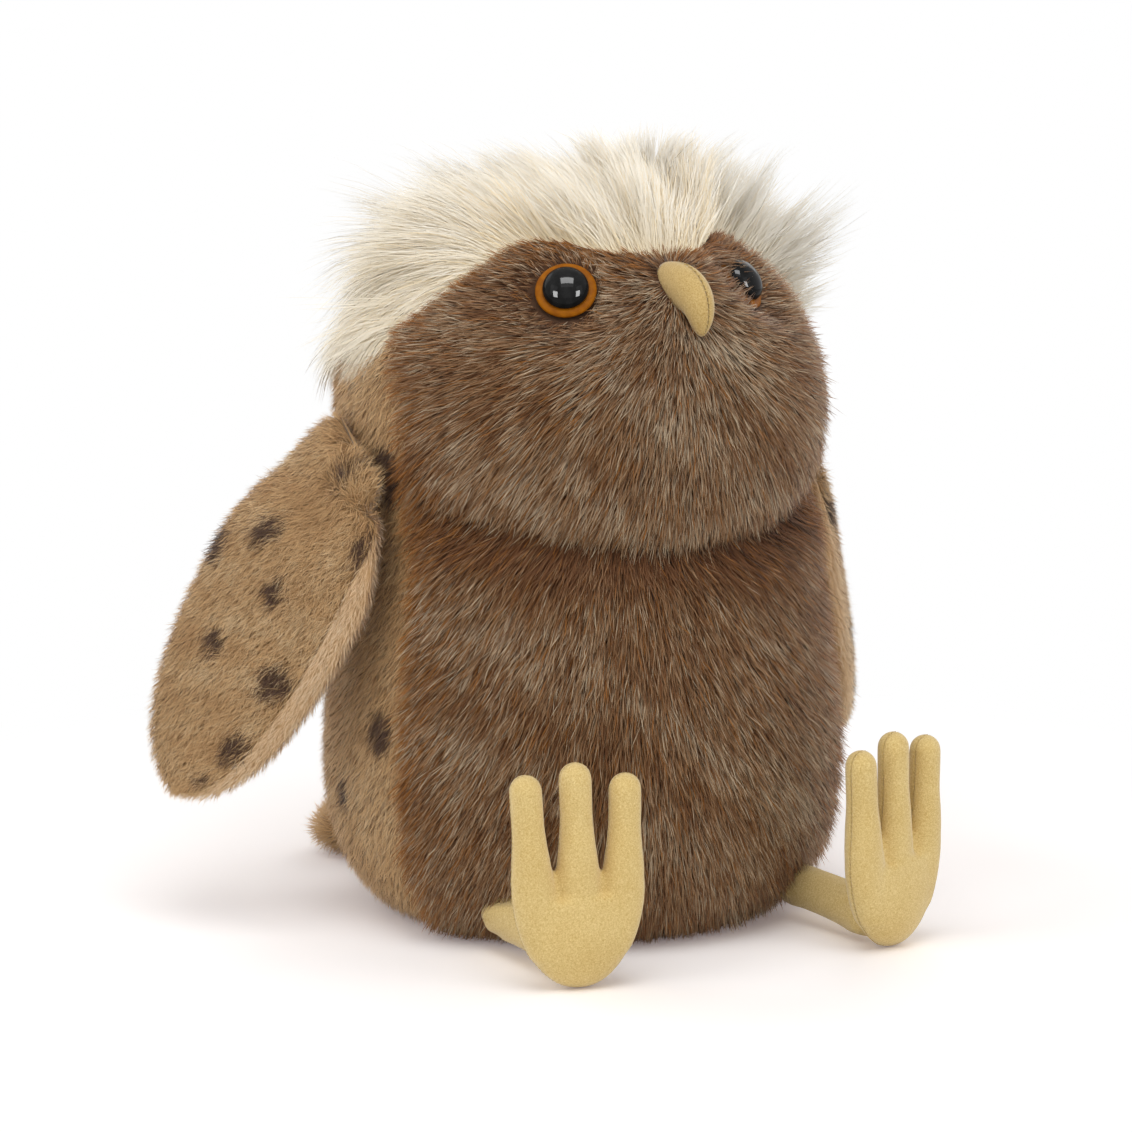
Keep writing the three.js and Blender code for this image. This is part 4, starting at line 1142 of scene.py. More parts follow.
@dataclass
class Body:
    """Torso and head: sewn panels and the pile that grows from them."""

    form: BodyForm = FORM
    cloth: float = 2.0
    seam_gap: float = 0.3
    seam_gap_deg: float = 0.15
    set_in: float = 0.6
    beak_deg: float = 0.0
    beak_height: float = 187.0
    beak_bare: float = 5.0
    cheek_drop: float = -8.0
    cheek_radius: float = 24.0
    parting_deg: float = -8.0
    parting_width_deg: float = 34.0
    parting_spread: float = 0.62
    face_drop: tuple = (128, 168)
    face_drop_share: float = 0.75
    eye_hug: tuple = (10, 17)
    eye_clear: tuple = (9, 18)
    eye_bare: float = 9.0
    veil_eye_bare: float = 7.6
    veil_deg: tuple = (8, 14)
    veil_way: tuple = (0.1, 0.5)
    veil_reach: tuple = (12, 17)
    veil_lift: float = 24.0
    # Place and width of the painted shade just under the chin seam.
    crease_shade_drop: float = -4.0
    crease_shade_width: float = 7.0
    rust_reach_deg: tuple = (5.0, 9.0)
    far_rust_deg: float = 60.0
    far_rust_width_deg: float = 8.0
    brow_width: float = 2.6
    upper_face: tuple = (150, 190)
    shag_deg: tuple = (42, 60)
    shag_height: tuple = (110, 150)
    shag_lift: float = 15.0
    crest_fan: tuple = (-6.0, -58.0, 186.0)
    crest_middle: float = 4.0
    crest_edge: float = 9.0
    far_deg: tuple = (36, 62, 105, 135)
    far_height: tuple = (28, 46)
    beside: tuple = (18, 40)
    beside_top: tuple = (182, 207)
    crown: tuple = (14, 34)
    crown_height: tuple = (196, 206)
    hugged_top: tuple = (186, 204)
    short_top: tuple = (178, 197)
    crest_lifts: tuple = (34.0, 29.0, -19.0, -1.0, 12.0)
    crest_cuts: tuple = (0.06, 0.46, 0.12)
    brown: Pile = Pile(length=9.6, width=0.25, lift_deg=16, droop=0.08, density=3.6, clump=2.6, pull=0.6, steps=3)
    tan: Pile = Pile(length=4.6, width=0.19, lift_deg=30, droop=0.10, density=3.4, clump=1.7, pull=0.2, steps=2,
                     ruffle=0.34, lift_jitter=13, even=0.8)
    ivory: Pile = Pile(length=34, width=0.17, lift_deg=20, droop=0.13, density=5.2, clump=5.5, pull=0.34, steps=4,
                       ruffle=0.10, lift_jitter=7, curl=1.6, even=0.94, stray=15, tufted=1.0)
    crest_lamps: tuple = (
        Softbox("crest_left_box", -105, 20, 1000, 600, 500, 0.5, (0.0, 0.0, 190.0)),
        Softbox("crest_right_box", 48, 16, 1000, 500, 500, 1.6, (0.0, 0.0, 190.0)),
    )
    spots: tuple = (
        (-80.5, 134, 7), (-75.5, 61, 5), (-92, 39.5, 3.4), (-108, 72, 4.5), (-118, 95, 5), (-130, 60, 5),
        (-128, 130, 4), (-148, 100, 5), (-160, 55, 5), (-165, 140, 4), (112, 60, 5), (104, 100, 5), (128, 45, 4),
        (133, 120, 5), (150, 80, 5), (165, 115, 4), (172, 40, 5))

    def build(self) -> None:
        """Makes the panels and the pile."""
        self.panels()
        grid = self.patch()
        self.front_pile(grid)
        self.side_pile(grid)
        self.crest_pile(grid)

    def sheet(self, name: str, deg: Array, station: Array) -> Piece:
        """A panel of cloth over the columns and rows of angles and stations."""
        layers = [self.form.point(deg, station, -depth) for depth in (self.set_in, self.set_in + self.cloth)]
        return solid(name, *sheet_body(*layers))

    def front(self, name: str, low: Array, high: Array, rows: int) -> Piece:
        """A front panel from seam to seam.

        Args:
            name: Piece name.
            low: Lowest height of each column.
            high: Highest height of each column.
            rows: Rows of points.

        Returns:
            The object.
        """
        f, share = self.form, np.linspace(0, 1, rows)[None]
        station = lerp(f.station_of(low)[:, None], f.station_of(high)[:, None], share)
        deg = np.linspace(-1, 1, len(low))[:, None] * np.ones_like(share)
        return self.sheet(name, deg * (f.seam_deg(f.profile(station)[1]) - self.seam_gap_deg), station)

    def flank(self, side: Side) -> Piece:
        """A side panel, from its seam to the middle of the back.

        Args:
            side: Which side.

        Returns:
            The panel.
        """
        f, ratio = self.form, np.linspace(0, 1, 49)
        order = ratio if side is Side.LEFT else ratio[::-1]
        high = f.crest_height(lerp(f.face_seam_deg, 180.0, order)) - self.seam_gap / 2
        station = f.station_of(high)[:, None] * np.linspace(0, 1, 64)[None]
        seam = f.seam_deg(f.profile(station)[1]) + self.seam_gap_deg
        deg = side.value * lerp(seam, 180 - self.seam_gap_deg, order[:, None])
        return self.sheet(f"flank_cloth_{side.word}", deg, station)

    def panels(self) -> None:
        """The fabric panels, which stand for the CAD panels and their fillings."""
        f, gap = self.form, self.seam_gap / 2
        share = np.linspace(-1, 1, 73)
        chin = f.chin_height(share * f.chin_side_deg)
        chest = self.front("chest_cloth", np.zeros(73), chin - gap, 44)
        dress(chest, "brown_backing", "body", ("chest_panel", "torso_stuffing", "pellet_bag"))
        face = self.front("face_cloth", chin + gap, f.crest_height(share * f.face_seam_deg) - gap, 40)
        dress(face, "brown_backing", "body", ("face_panel", "head_stuffing"))
        for side in Side:
            dress(self.flank(side), "tan_backing", "body", (f"side_panel_{side.word}",))
        dress(self.cap(), "ivory_backing", "body", ("crest_panel",))
        rim = f.base_radius - 0.5
        base = lathe("base_cloth", [(0, 0.0), (f.base_radius - 1.2, 0.0), (rim, 0.5), (rim, 1.5),
                                    (f.base_radius - 1.2, self.cloth), (0, self.cloth)],
                     np.zeros(3), UP + [TINY, 0, 0])
        dress(base, "tan_backing", "body", ("base_panel",))

    def cap(self) -> Piece:
        """The crest's cap.

        Returns:
            The panel.
        """
        f = self.form
        degs = np.linspace(0, 360, 120, endpoint=False)
        degs = np.where(degs > 180, degs - 360, degs)
        low = f.station_of(f.crest_height(degs) + self.seam_gap / 2)
        shares = np.linspace(0, 1, 24)[:-1]
        rings = [f.point(degs, lerp(low, 4.0, s), -self.set_in - self.cloth) for s in shares][::-1]
        rings += [f.point(degs, lerp(low, 4.0, s), -self.set_in) for s in shares]
        top = np.array([0, 0, f.crown_height - self.set_in])
        return solid("crest_cloth", *ringed(top - [0, 0, self.cloth], np.stack(rings), top))

    def patch(self) -> Patch:
        """A grid over the whole body for the pile.

        Returns:
            The grid.
        """
        deg, station = np.broadcast_arrays(np.linspace(-180, 180, 241)[:, None],
                                           np.linspace(0.02, 3.995, 260)[None])
        points = self.form.point(deg, station, -self.set_in)
        r, z = self.form.profile(station)
        fields = {"deg": deg, "z": z, "r": r, "run": np.broadcast_to(running(points[120]), deg.shape)}
        return Patch(points, {key: value.copy() for key, value in fields.items()})

    def region(self, at: dict) -> dict:
        """Masks of the panels that the roots with these fields lie on, by region.

        Args:
            at: Fields at the roots.

        Returns:
            A mask for each region.
        """
        f = self.form
        crest = at["z"] > f.crest_height(at["deg"])
        front = (np.abs(at["deg"]) < f.seam_deg(at["z"])) & ~crest
        low = at["z"] < f.chin_height(at["deg"])
        return {Region.CREST: crest, Region.CHEST: front & low, Region.FACE: front & ~low,
                Region.FLANK: ~front & ~crest}

    def grow(self, pile: Pile, name: str, seed: int, at: dict, keep: Array, lie: Array, tone: Array,
             scale: Array, lift: Number = 0.0, hug: Number = 0.0) -> Piece:
        """Grows the kept strands of one kind.

        Args:
            pile: Kind of pile.
            name: Piece name.
            seed: Seed of the random draws.
            at: Fields of all the roots.
            keep: Which to keep.
            lie: Lie of the pile.
            tone: Tone of each strand.
            scale: Share of the full length.
            lift: Degrees that the strands stand up more than their kind does.
            hug: How closely they follow the round of the body, from 0 to 1.

        Returns:
            The strands.
        """
        chart = np.stack([np.radians(at["deg"]) * at["r"], at["run"]], -1)
        lift, hug = np.broadcast_to(lift, tone.shape), np.broadcast_to(hug, tone.shape)
        parts = (at["point"], at["normal"], lie, tone, chart, at["du"], at["dv"], scale, lift, hug)
        return pile.grow(name, Roots(*[part[keep] for part in parts]), seed)

    def clear_of_eyes(self, at: dict) -> tuple[Array, Array]:
        """How far the roots are from the eyes, and the unit way from the nearer one.

        Args:
            at: Fields at the roots.

        Returns:
            Distances from the rings, and ways away from them.
        """
        gaps, ways = [], []
        for side in Side:
            place, axis = self.form.eye_floor(side)
            off = at["point"] - place
            high = off @ axis
            off = off - high[:, None] * axis
            gaps.append(np.where(high > -12, np.linalg.norm(off, axis=-1), 99.0))
            ways.append(unit(off))
        near = np.argmin(gaps, 0)
        return np.min(gaps, 0), np.where(near[:, None] == 0, ways[0], ways[1])

    def front_pile(self, grid: Patch) -> None:
        """Brown pile of the chest and the face, over the body's patch.

        Args:
            grid: The body's patch.
        """
        at = grid.scatter(self.brown.density, 11)
        masks = self.region(at)
        dx = np.radians(at["deg"] - self.beak_deg) * at["r"]
        dz = at["z"] - self.beak_height
        gap, way = self.clear_of_eyes(at)
        veil = (smooth(at["deg"], *self.veil_deg) * smooth(-way[:, 0], *self.veil_way)
                * (1 - smooth(gap, *self.veil_reach)))
        lie = self.front_lie(at, masks, (dx, dz), gap, way, veil)
        brow = np.exp(-np.maximum(self.form.crest_height(at["deg"]) - at["z"], 0) / self.brow_width)
        brow = brow * masks[Region.FACE]
        tone = self.front_tone(at, masks, bump(np.hypot(dx, dz - self.cheek_drop), 0, self.cheek_radius), brow)
        scale = np.clip(0.45 + 0.55 * smooth(gap, *self.eye_clear), 0, 1) * (1 - 0.35 * brow)
        scale = lerp(scale * lerp(0.72, 1.0, 1 - smooth(at["z"], *self.upper_face)), 1.0, veil)
        shag = smooth(np.abs(at["deg"]), *self.shag_deg) * (1 - smooth(at["z"], *self.shag_height))
        bare = np.where(veil > 0.2, self.veil_eye_bare, self.eye_bare)
        keep_all = (gap > bare) & (np.hypot(dx, dz) > self.beak_bare)
        lift = self.veil_lift * veil + self.shag_lift * shag
        for region in (Region.CHEST, Region.FACE):
            for side in Side:
                keep = masks[region] & keep_all & (np.sign(at["deg"] + 1e-6) == side.value)
                pile = self.grow(self.brown, f"{region.value}_pile_{side.word}", 21 + side.value, at, keep, lie,
                                 tone, scale, lift)
                dress(pile, "brown_fibre", "body")

    def front_lie(self, at: dict, masks: dict, off_beak: tuple, gap: Array, way: Array, veil: Array) -> Array:
        """Lie of the brown pile: away from the beak and the eyes on the face, down and aside on the chest.

        Args:
            at: Fields of the roots.
            masks: Masks by region.
            off_beak: Distances aside and up from the beak.
            gap: Distance from the nearer eye.
            way: Unit way from that eye.
            veil: Share of the pile that lies over the far eye's edge.

        Returns:
            The directions.
        """
        away = unit(np.stack([off_beak[0], off_beak[1] * 0.9 - 3], -1))
        face = at["du"] * away[:, :1] + at["dv"] * away[:, 1:]
        hug = (1 - smooth(gap, *self.eye_hug))[:, None]
        face = face * (1 - 0.5 * hug) + 0.6 * way * hug
        face = lerp(face, -way, 0.8 * veil[:, None])
        spread = self.parting_spread * np.tanh((at["deg"] - self.parting_deg) / self.parting_width_deg)
        lean = unit(np.stack([spread, -np.ones_like(spread)], -1))
        chest = at["du"] * lean[:, :1] + at["dv"] * lean[:, 1:]
        drop = (1 - smooth(at["z"], *self.face_drop))[:, None]
        return np.where(masks[Region.FACE][:, None], lerp(face, chest, self.face_drop_share * drop), chest)

    def front_tone(self, at: dict, masks: dict, cheek: Array, brow: Array) -> Array:
        """Tone of the brown pile, darker in a band just under the chin seam, which is painted shade, and rusty along
        the seams.

        Args:
            at: Fields of the roots.
            masks: Masks by region.
            cheek: Nearness to the pale cheek under the beak.
            brow: Nearness to the crest's seam.

        Returns:
            The tones.
        """
        rng = np.random.default_rng(12)
        n = len(cheek)
        tone = 0.52 + 0.12 * patchy(at["point"], 26, 13) + 0.16 * patchy(at["point"], 6, 14) + rng.normal(0, 0.22, n)
        # Painted shade: the chest pile is darkened in a band just under the chin seam, where the head shades it.
        crease_shade = bump(at["z"] - self.form.chin_height(at["deg"]), self.crease_shade_drop, self.crease_shade_width)
        tone = np.clip(tone - 0.42 * crease_shade * masks[Region.CHEST] + 0.14 * cheek, 0.2, 0.97)
        edge = np.maximum(self.form.seam_deg(at["z"]) - np.abs(at["deg"]), 0)
        near, far = self.rust_reach_deg
        seam = np.exp(-edge / np.where(at["deg"] > 0, far, near))
        seam = np.maximum(seam, 0.9 * np.exp(-np.abs(at["deg"] - self.far_rust_deg) / self.far_rust_width_deg))
        rust = rng.random(n) < np.clip(0.06 + 0.7 * seam + 0.75 * brow, 0, 0.9)
        return np.where(rust, ACCENT_TONE, tone)

    def side_pile(self, grid: Patch) -> None:
        """Tan pile of the sides and the back with its dark spots, over the body's patch.

        Args:
            grid: The body's patch.
        """
        at = grid.scatter(self.tan.density, 31)
        masks = self.region(at)
        rng = np.random.default_rng(32)
        lie = -at["dv"] + 0.12 * np.sign(at["deg"])[:, None] * at["du"]
        tone = 0.55 + 0.12 * patchy(at["point"], 22, 33) + 0.09 * patchy(at["point"], 6, 34)
        tone = np.clip(tone + rng.normal(0, 0.13, len(tone)), 0.2, 0.97)
        for deg, z, radius in self.spots:
            middle = self.form.point(deg, self.form.station_of(z), 0)
            away = np.linalg.norm((at["point"] - middle) * [1, 1, 0.8], axis=-1)
            tone = np.where(away + rng.normal(0, 0.9, len(tone)) < radius, SPOT_TONE, tone)
        for side in Side:
            keep = masks[Region.FLANK] & (np.sign(at["deg"] + 1e-6) == side.value)
            pile = self.grow(self.tan, f"flank_pile_{side.word}", 41 + side.value, at, keep, lie, tone,
                             np.ones_like(tone))
            dress(pile, "tan_fibre", "body")

    def crest_pile(self, grid: Patch) -> None:
        """Ivory shaggy pile of the crest, which sweeps outward from the brow, over the body's patch.

        Args:
            grid: The body's patch.
        """
        at = grid.scatter(self.ivory.density, 51)
        masks = self.region(at)
        rng = np.random.default_rng(52)
        deg, z = at["deg"], at["z"]
        away = unit(at["point"] - np.array(self.crest_fan))
        lie = away - (away * at["normal"]).sum(-1, keepdims=True) * at["normal"]
        front = np.clip(-at["point"][:, 1:2] / 40, 0, 1)
        lie = unit(lie + front * at["dv"] * 0.5)
        height = z - self.form.crest_height(deg)
        tone = 0.6 + 0.12 * patchy(at["point"], 30, 53) + rng.normal(0, 0.12, len(height))
        cream = rng.random(len(height)) < 0.10 + 0.25 * (patchy(at["point"], 24, 54) > 0.3)
        tone = np.where(cream, ACCENT_TONE, np.clip(tone, 0.2, 0.97))
        scale = lerp(0.62, 1.0, smooth(height, 0, self.crest_edge)) * (0.8 + 0.35 * rng.random(len(height)))
        far = (smooth(deg, *self.far_deg[:2]) * (1 - smooth(deg, *self.far_deg[2:]))
               * (1 - smooth(height, *self.far_height)))
        out = np.abs(at["point"][:, 0] + self.crest_middle)
        beside = smooth(out, *self.beside) * (1 - far)
        crown = (1 - smooth(out, *self.crown)) * smooth(z, *self.crown_height)
        low = 1 - smooth(z, *self.hugged_top)
        tuft = (patchy(at["point"], 4.5, 55) > 0.8) * beside * low
        far_lift, top_lift, side_lift, crown_lift, tuft_lift = self.crest_lifts
        lift = (far_lift * far + beside * (top_lift * smooth(z, *self.beside_top) + side_lift) + crown_lift * crown
                + tuft_lift * tuft)
        hug = beside * low * (1 - tuft)
        far_cut, side_cut, crown_cut = self.crest_cuts
        short = 1 - smooth(z, *self.short_top)
        scale = scale * (1 - far_cut * far - side_cut * beside * short * (1 - 0.8 * tuft) - crown_cut * crown)
        lie = unit(lie - 0.3 * hug[:, None] * at["dv"])
        piles = []
        for side in Side:
            for part, near in (("front", np.abs(deg) < 75), ("back", np.abs(deg) >= 75)):
                keep = masks[Region.CREST] & (np.sign(deg + 1e-6) == side.value) & near
                pile = self.grow(self.ivory, f"crest_pile_{part}_{side.word}", 61 + side.value, at, keep, lie, tone,
                                 scale, lift, hug)
                piles.append(dress(pile, "ivory_fibre", "body"))
        for lamp in self.crest_lamps:
            lamp.build(tuple(piles))


@dataclass
class Eyes:
    """Glossy domes on amber rings, with washers behind the fabric."""

    form: BodyForm = FORM
    pupil_radius: float = 6.5
    pupil_dome: float = 4.2
    ring_radius: float = 8.6
    ring_thickness: float = 1.3
    gap: float = 0.3
    shank_radius: float = 1.6
    shank_length: float = 7.5
    glints: tuple = (
        Softbox("glint_top", -30, 66, 1000, 560, 330, 22.0),
        Softbox("glint_left", -72, 14, 1100, 330, 480, 38.0),
        Softbox("glint_right", 12, 14, 1100, 330, 480, 38.0),
    )

    def build(self) -> None:
        """Makes both eyes, and the glints on them."""
        domes = []
        for side in Side:
            place, axis = self.form.eye_floor(side)
            ring = self.ring(f"iris_{side.word}", place, axis)
            dress(ring, "amber_ring", "body", (f"iris_ring_{side.word}",))
            dome = self.dome(f"pupil_{side.word}", place, axis)
            domes.append(dress(dome, "black_dome", "body", (f"eye_{side.word}",)))
            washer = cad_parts[f"eye_washer_{side.word}"]
            washer.data.materials.clear()
            washer.data.materials.append(Finishes.get("nylon_washer"))
        for glint in self.glints:
            glint.build(tuple(domes))

    def dome(self, name: str, place: Array, axis: Array) -> Piece:
        """A pupil dome with its shank, from the bottom of the hollow along the eye's axis.

        Args:
            name: Piece name.
            place: Bottom of the hollow.
            axis: The way that the eye looks.

        Returns:
            The object.
        """
        foot = 2 * self.gap + self.ring_thickness
        shank, radius = foot - self.shank_length, self.pupil_radius
        outline = [(0, shank), (self.shank_radius, shank), (self.shank_radius, foot - 0.4), (self.shank_radius, foot),
                   (radius - 0.3, foot), (radius, foot + 0.15)]
        outline += [(radius * math.cos(a), foot + 0.2 + (self.pupil_dome - 0.2) * math.sin(a))
                    for a in np.linspace(0, QUARTER, 22)]
        return lathe(name, outline, place, axis)

    def ring(self, name: str, place: Array, axis: Array) -> Piece:
        """An amber ring, raised towards the dome, from the bottom of the hollow along the eye's axis.

        Args:
            name: Piece name.
            place: Bottom of the hollow.
            axis: The way that the eye looks.

        Returns:
            The object.
        """
        foot, top, radius = self.gap, self.gap + self.ring_thickness, self.ring_radius
        outline = [(0, foot), (radius - 0.4, foot), (radius, foot + 0.3), (radius, foot + 0.55),
                   (radius - 0.2, foot + 0.85), (radius - 0.7, top - 0.15), (radius - 1.3, top),
                   (self.pupil_radius + 0.25, top), (self.pupil_radius - 0.2, top - 0.1), (0, top - 0.1)]
        return lathe(name, outline, place, axis)


@dataclass
class Beak:
    """Two sueded panels over a small filling, sewn along the ridge."""

    form: BodyForm = FORM
    root_height: float = 187.02
    root_depth: float = 5.0
    reach: float = 11.8
    hook_reach: float = 10.4
    drop: float = 13.5
    arch: tuple = (0.55, 0.1, 0.2)
    half_width: float = 5.0
    half_height: float = 6.3
    rows: int = 34
    tip_power: float = 1.4
    swell: tuple = (0.5, 0.4, 0.2)
    hollow: tuple = (0.32, 0.8, 0.13)
    root_shift: float = -0.9
    tip_shift: float = -0.3
    seam_angle: float = 0.03
    seam_gap: float = 0.15
    inner_share: float = 0.78
    stitch_count: int = 16
    stitch_rows: tuple = (7, 31)
    stitch_half: float = 0.55
    stitch_slant: float = 0.3
    stitch_rise: tuple = (0.16, 0.2)
    thread_radius: float = 0.13

    def line(self) -> Array:
        """Points on the beak's middle line, from its root to its tip.

        Returns:
            The points.
        """
        r = self.form.profile(self.form.station_of(self.root_height))[0] - self.root_depth
        root = around(0.0, r, self.root_height)
        reach, hook = self.root_depth + self.reach, self.root_depth + self.hook_reach
        out, rise, fall = self.arch
        nodes = [root, root + [0, -reach * out, self.drop * rise], root + [0, -reach, -self.drop * fall],
                 root + [0, -hook, -self.drop]]
        t = eased(self.rows, self.tip_power)[:, None]
        weights = [(1 - t) ** 3, 3 * t * (1 - t) ** 2, 3 * t * t * (1 - t), t**3]
        return sum(w * node for w, node in zip(weights, nodes))

    def rings(self, low: float, high: float, sides: int) -> Array:
        """Rings of the beak's form between two angles of the section.

        Args:
            low: First angle.
            high: Last angle.
            sides: Points in each ring.

        Returns:
            Points as (rings, sides, 3).
        """
        share = eased(self.rows, self.tip_power)
        middle = self.line()
        up = np.cross(unit(np.gradient(middle, axis=0)), -LEFTWARD)
        size = (1 - share**4) ** 0.6
        angles = np.linspace(low, high, sides)
        below = np.clip(-np.sin(angles) if up[0, 2] > 0 else np.sin(angles), 0, 1)
        swell = self.swell[0] * bump(share, *self.swell[1:]) - self.hollow[0] * bump(share, *self.hollow[1:])
        tallness = self.half_height * size[:, None] * (1 + below[None] * swell[:, None])
        wide = np.cos(angles)[None, :, None] * -LEFTWARD * (self.half_width * size)[:, None, None]
        tall = np.sin(angles)[None, :, None] * up[:, None] * tallness[..., None]
        bent = lerp(self.root_shift, self.tip_shift, share)
        return middle[:, None] + wide + tall + LEFTWARD * bent[:, None, None]

    def build(self) -> None:
        """Makes both panels and the stitches."""
        middle = self.line()[:, None]
        for side, low in ((Side.LEFT, QUARTER), (Side.RIGHT, -QUARTER)):
            outer = self.rings(low + self.seam_angle, low + math.pi - self.seam_angle, 25)
            inner = middle + (outer - middle) * self.inner_share
            crossed = np.sign(inner[..., 0]) != side.value
            inner[..., 0] = np.where(crossed, side.value * self.seam_gap, inner[..., 0])
            panel = solid(f"beak_suede_{side.word}", *sheet_body(outer, inner))
            nodes = (f"beak_panel_{side.word}",) + (("beak_stuffing",) if side is Side.LEFT else ())
            dress(panel, "beak_suede", "body", nodes)
        self.stitches()

    def stitches(self) -> None:
        """Overcast stitches along the ridge."""
        ridge = self.rings(-QUARTER, QUARTER, 3)
        top = max((ridge[:, 0], ridge[:, -1]), key=lambda line: line[8, 2])
        out = unit(top - self.line())
        ends = np.linspace(-1, 1, 7)[:, None]
        parts = []
        for row in np.linspace(*self.stitch_rows, self.stitch_count):
            i = int(row)
            after = top[min(i + 1, self.rows - 1)]
            along = unit(after - top[i])
            path = (lerp(top[i], after, row - i) + ends * (LEFTWARD * self.stitch_half + along * self.stitch_slant)
                    + out[i] * (self.stitch_rise[0] - self.stitch_rise[1] * ends**2))
            parts.append(thread(path, self.thread_radius, along, 6))
        dress(solid("beak_stitches", *merged(parts)), "thread", "body")


@dataclass(kw_only=True)
class Lobe:
    """A flat stuffed piece that is sewn from two panels of pile fabric."""

    joint_gap: float = 0.3
    cloth: float = 2.0
    set_in: float = 0.5
    thinnest: float = 0.3

    def panel(self, name: str, angles: Array) -> tuple[Piece, Array]:
        """A closed panel between two angles of the section, and its outer points as (columns, rows, 3)."""
        outer, inner = (self.grid(angles, self.set_in + depth).transpose(1, 0, 2) for depth in (0, self.cloth))
        return solid(name, *sheet_body(outer, inner)), outer

    def rooted(self, points: Array, fields: dict, density: float, seed: int) -> tuple[dict, Array]:
        """Fields at roots spread over a panel, and their normals turned away from its middle.

        Args:
            points: The panel's outer points.
            fields: Values at those points.
            density: Strands to the square millimetre.
            seed: Seed of the random draws.

        Returns:
            Fields and normals at the roots.
        """
        at = Patch(points, fields).scatter(density, seed)
        off = at["point"] - points.reshape(-1, 3).mean(0)
        inward = (off * at["normal"]).sum(-1).mean() < 0
        return at, -at["normal"] if inward else at["normal"]


@dataclass
class Wing(Lobe):
    """A flat stuffed wing: spotted outer panel, paler inner panel that wraps the front edge."""

    side: Side
    form: BodyForm = FORM
    root_deg: float = 92.0
    root_height: float = 135.5
    tilt_deg: float = 38.0
    root_radius: float = 5.5
    root_half_chord: float = 17.0
    root_taper: float = 0.86
    root_turns: tuple = (0.08, 0.96)
    root_rows: int = 8
    length: float = 107.0
    half_chord: float = 28.5
    half_thickness: float = 7.6
    widest: float = 0.36
    flare_deg: float = 25.8
    sweep_deg: float = 13.0
    face_turn_deg: float = 20.0
    hang_degs: tuple = (5.0, 0.0)
    wrap_deg: float = 34.0
    wrap_start: tuple = (0.05, 0.3)
    front_bulge: float = 1.06
    tip_powers: tuple = (2.5, 2.6, 2.4)
    rows: int = 64
    row_power: float = 1.35
    seam_angle: float = 0.01
    join_share: tuple = (0.01, 0.09)
    tan: Pile = Pile(length=4.3, width=0.16, lift_deg=30, droop=0.10, density=6.0, clump=1.6, pull=0.12, steps=2,
                     ruffle=0.46, lift_jitter=13, even=0.86)
    pale: Pile = Pile(length=3.8, width=0.17, lift_deg=30, droop=0.10, density=5.0, clump=1.5, pull=0.08, steps=2,
                      ruffle=0.26, lift_jitter=9, even=0.9)
    spots: tuple = ((0.25, -0.35, 4.6), (0.16, 0.80, 4.8), (0.38, 0.13, 3.4), (0.58, -0.25, 3.6), (0.58, 0.63, 4.8),
                    (0.79, 0.67, 4.4), (0.02, 0.05, 3.0), (0.36, -0.88, 4.0), (0.92, 0.62, 2.6))

    def frame(self) -> tuple[Array, ...]:
        """The right wing's root point, and its hinge, long, face and chord directions.

        Returns:
            Root, hinge, along, face and chord.
        """
        out, forward = around(-self.root_deg, 1, 0), around(90 - self.root_deg, 1, 0)
        tilt, turn = math.radians(self.tilt_deg), math.radians(self.face_turn_deg)
        flare, sweep = math.tan(math.radians(self.flare_deg)), math.tan(math.radians(self.sweep_deg))
        hinge = forward * math.cos(tilt) - UP * math.sin(tilt)
        along = unit(-UP + out * flare - forward * sweep)
        face = out * math.cos(turn) + forward * math.sin(turn)
        face = unit(face - (face @ along) * along)
        r, z = self.form.profile(self.form.station_of(self.root_height))
        root = around(-self.root_deg, r + self.root_radius + 2 * self.joint_gap, z)
        return root, hinge, along, face, np.cross(face, along)

    def shares(self) -> Array:
        """Shares of the length at which the wing has its rows."""
        return eased(self.rows, self.row_power, 0.9995)

    def turned(self, angles: Array, share: float) -> Array:
        """Section angles at a share of the length: the inner panel wraps the edge less near the root.

        Args:
            angles: Angles of the section.
            share: Share of the wing's length.

        Returns:
            The angles there.
        """
        wrap = math.radians(self.wrap_deg)
        here = wrap * float(smooth(share, *self.wrap_start))
        inner = angles.max() > math.pi + wrap / 2
        span = (math.pi + here) / (math.pi + wrap) if inner else (math.pi - here) / (math.pi - wrap)
        return math.pi + (angles - math.pi) * span

    def grid(self, angles: Array, inset: float) -> Array:
        """Points of the wing's form.

        Args:
            angles: Angles of the section, 0 at the front edge and a quarter turn at the outer face.
            inset: Depth under the form.

        Returns:
            Points as (rows along the wing, angles, 3), on the wing's own side.
        """
        root, hinge, along, face, chord = self.frame()
        away = unit(along - (along @ hinge) * hinge)
        lift = np.cross(away, hinge)
        rows, radius = [], self.root_radius
        place = self.turned(angles, 0)
        for turn in np.linspace(*self.root_turns, self.root_rows):
            a = turn * QUARTER
            half = self.root_half_chord * lerp(self.root_taper, 1, turn) - inset
            rows.append(root - away * (radius - inset) * math.cos(a) + np.cos(place)[:, None] * hinge * half
                        + np.sin(place)[:, None] * lift * (radius - inset) * math.sin(a))
        for share in self.shares():
            blend = float(smooth(share, 0, self.widest))
            across = lerp(hinge, chord, blend)
            across = unit(across - along * (across @ along) * float(smooth(share, 0, 0.1)))
            thick = unit(lerp(lift, face, blend))
            ease = math.sin(min(share / self.widest, 1) * QUARTER)
            run = max(share - self.widest, 0) / (1 - self.widest)
            reach = lerp(self.root_half_chord, self.half_chord, ease)
            front, back, flat = (math.sqrt(1 - run**power) for power in self.tip_powers)
            depth = max(lerp(radius, self.half_thickness, ease) * flat - inset, self.thinnest)
            place = self.turned(angles, share)
            half = np.where(np.cos(place) > 0, reach * front * lerp(1, self.front_bulge, ease), reach * back)
            half = np.maximum(half - inset, self.thinnest)
            rows.append(root + along * share * (self.length - inset) + (np.cos(place) * half)[:, None] * across
                        + (np.sin(place) * depth)[:, None] * thick)
        points = root + turned_about(np.stack(rows) - root, hinge, self.side.pick(*self.hang_degs))
        return points * [-1, 1, 1] if self.side is Side.LEFT else points

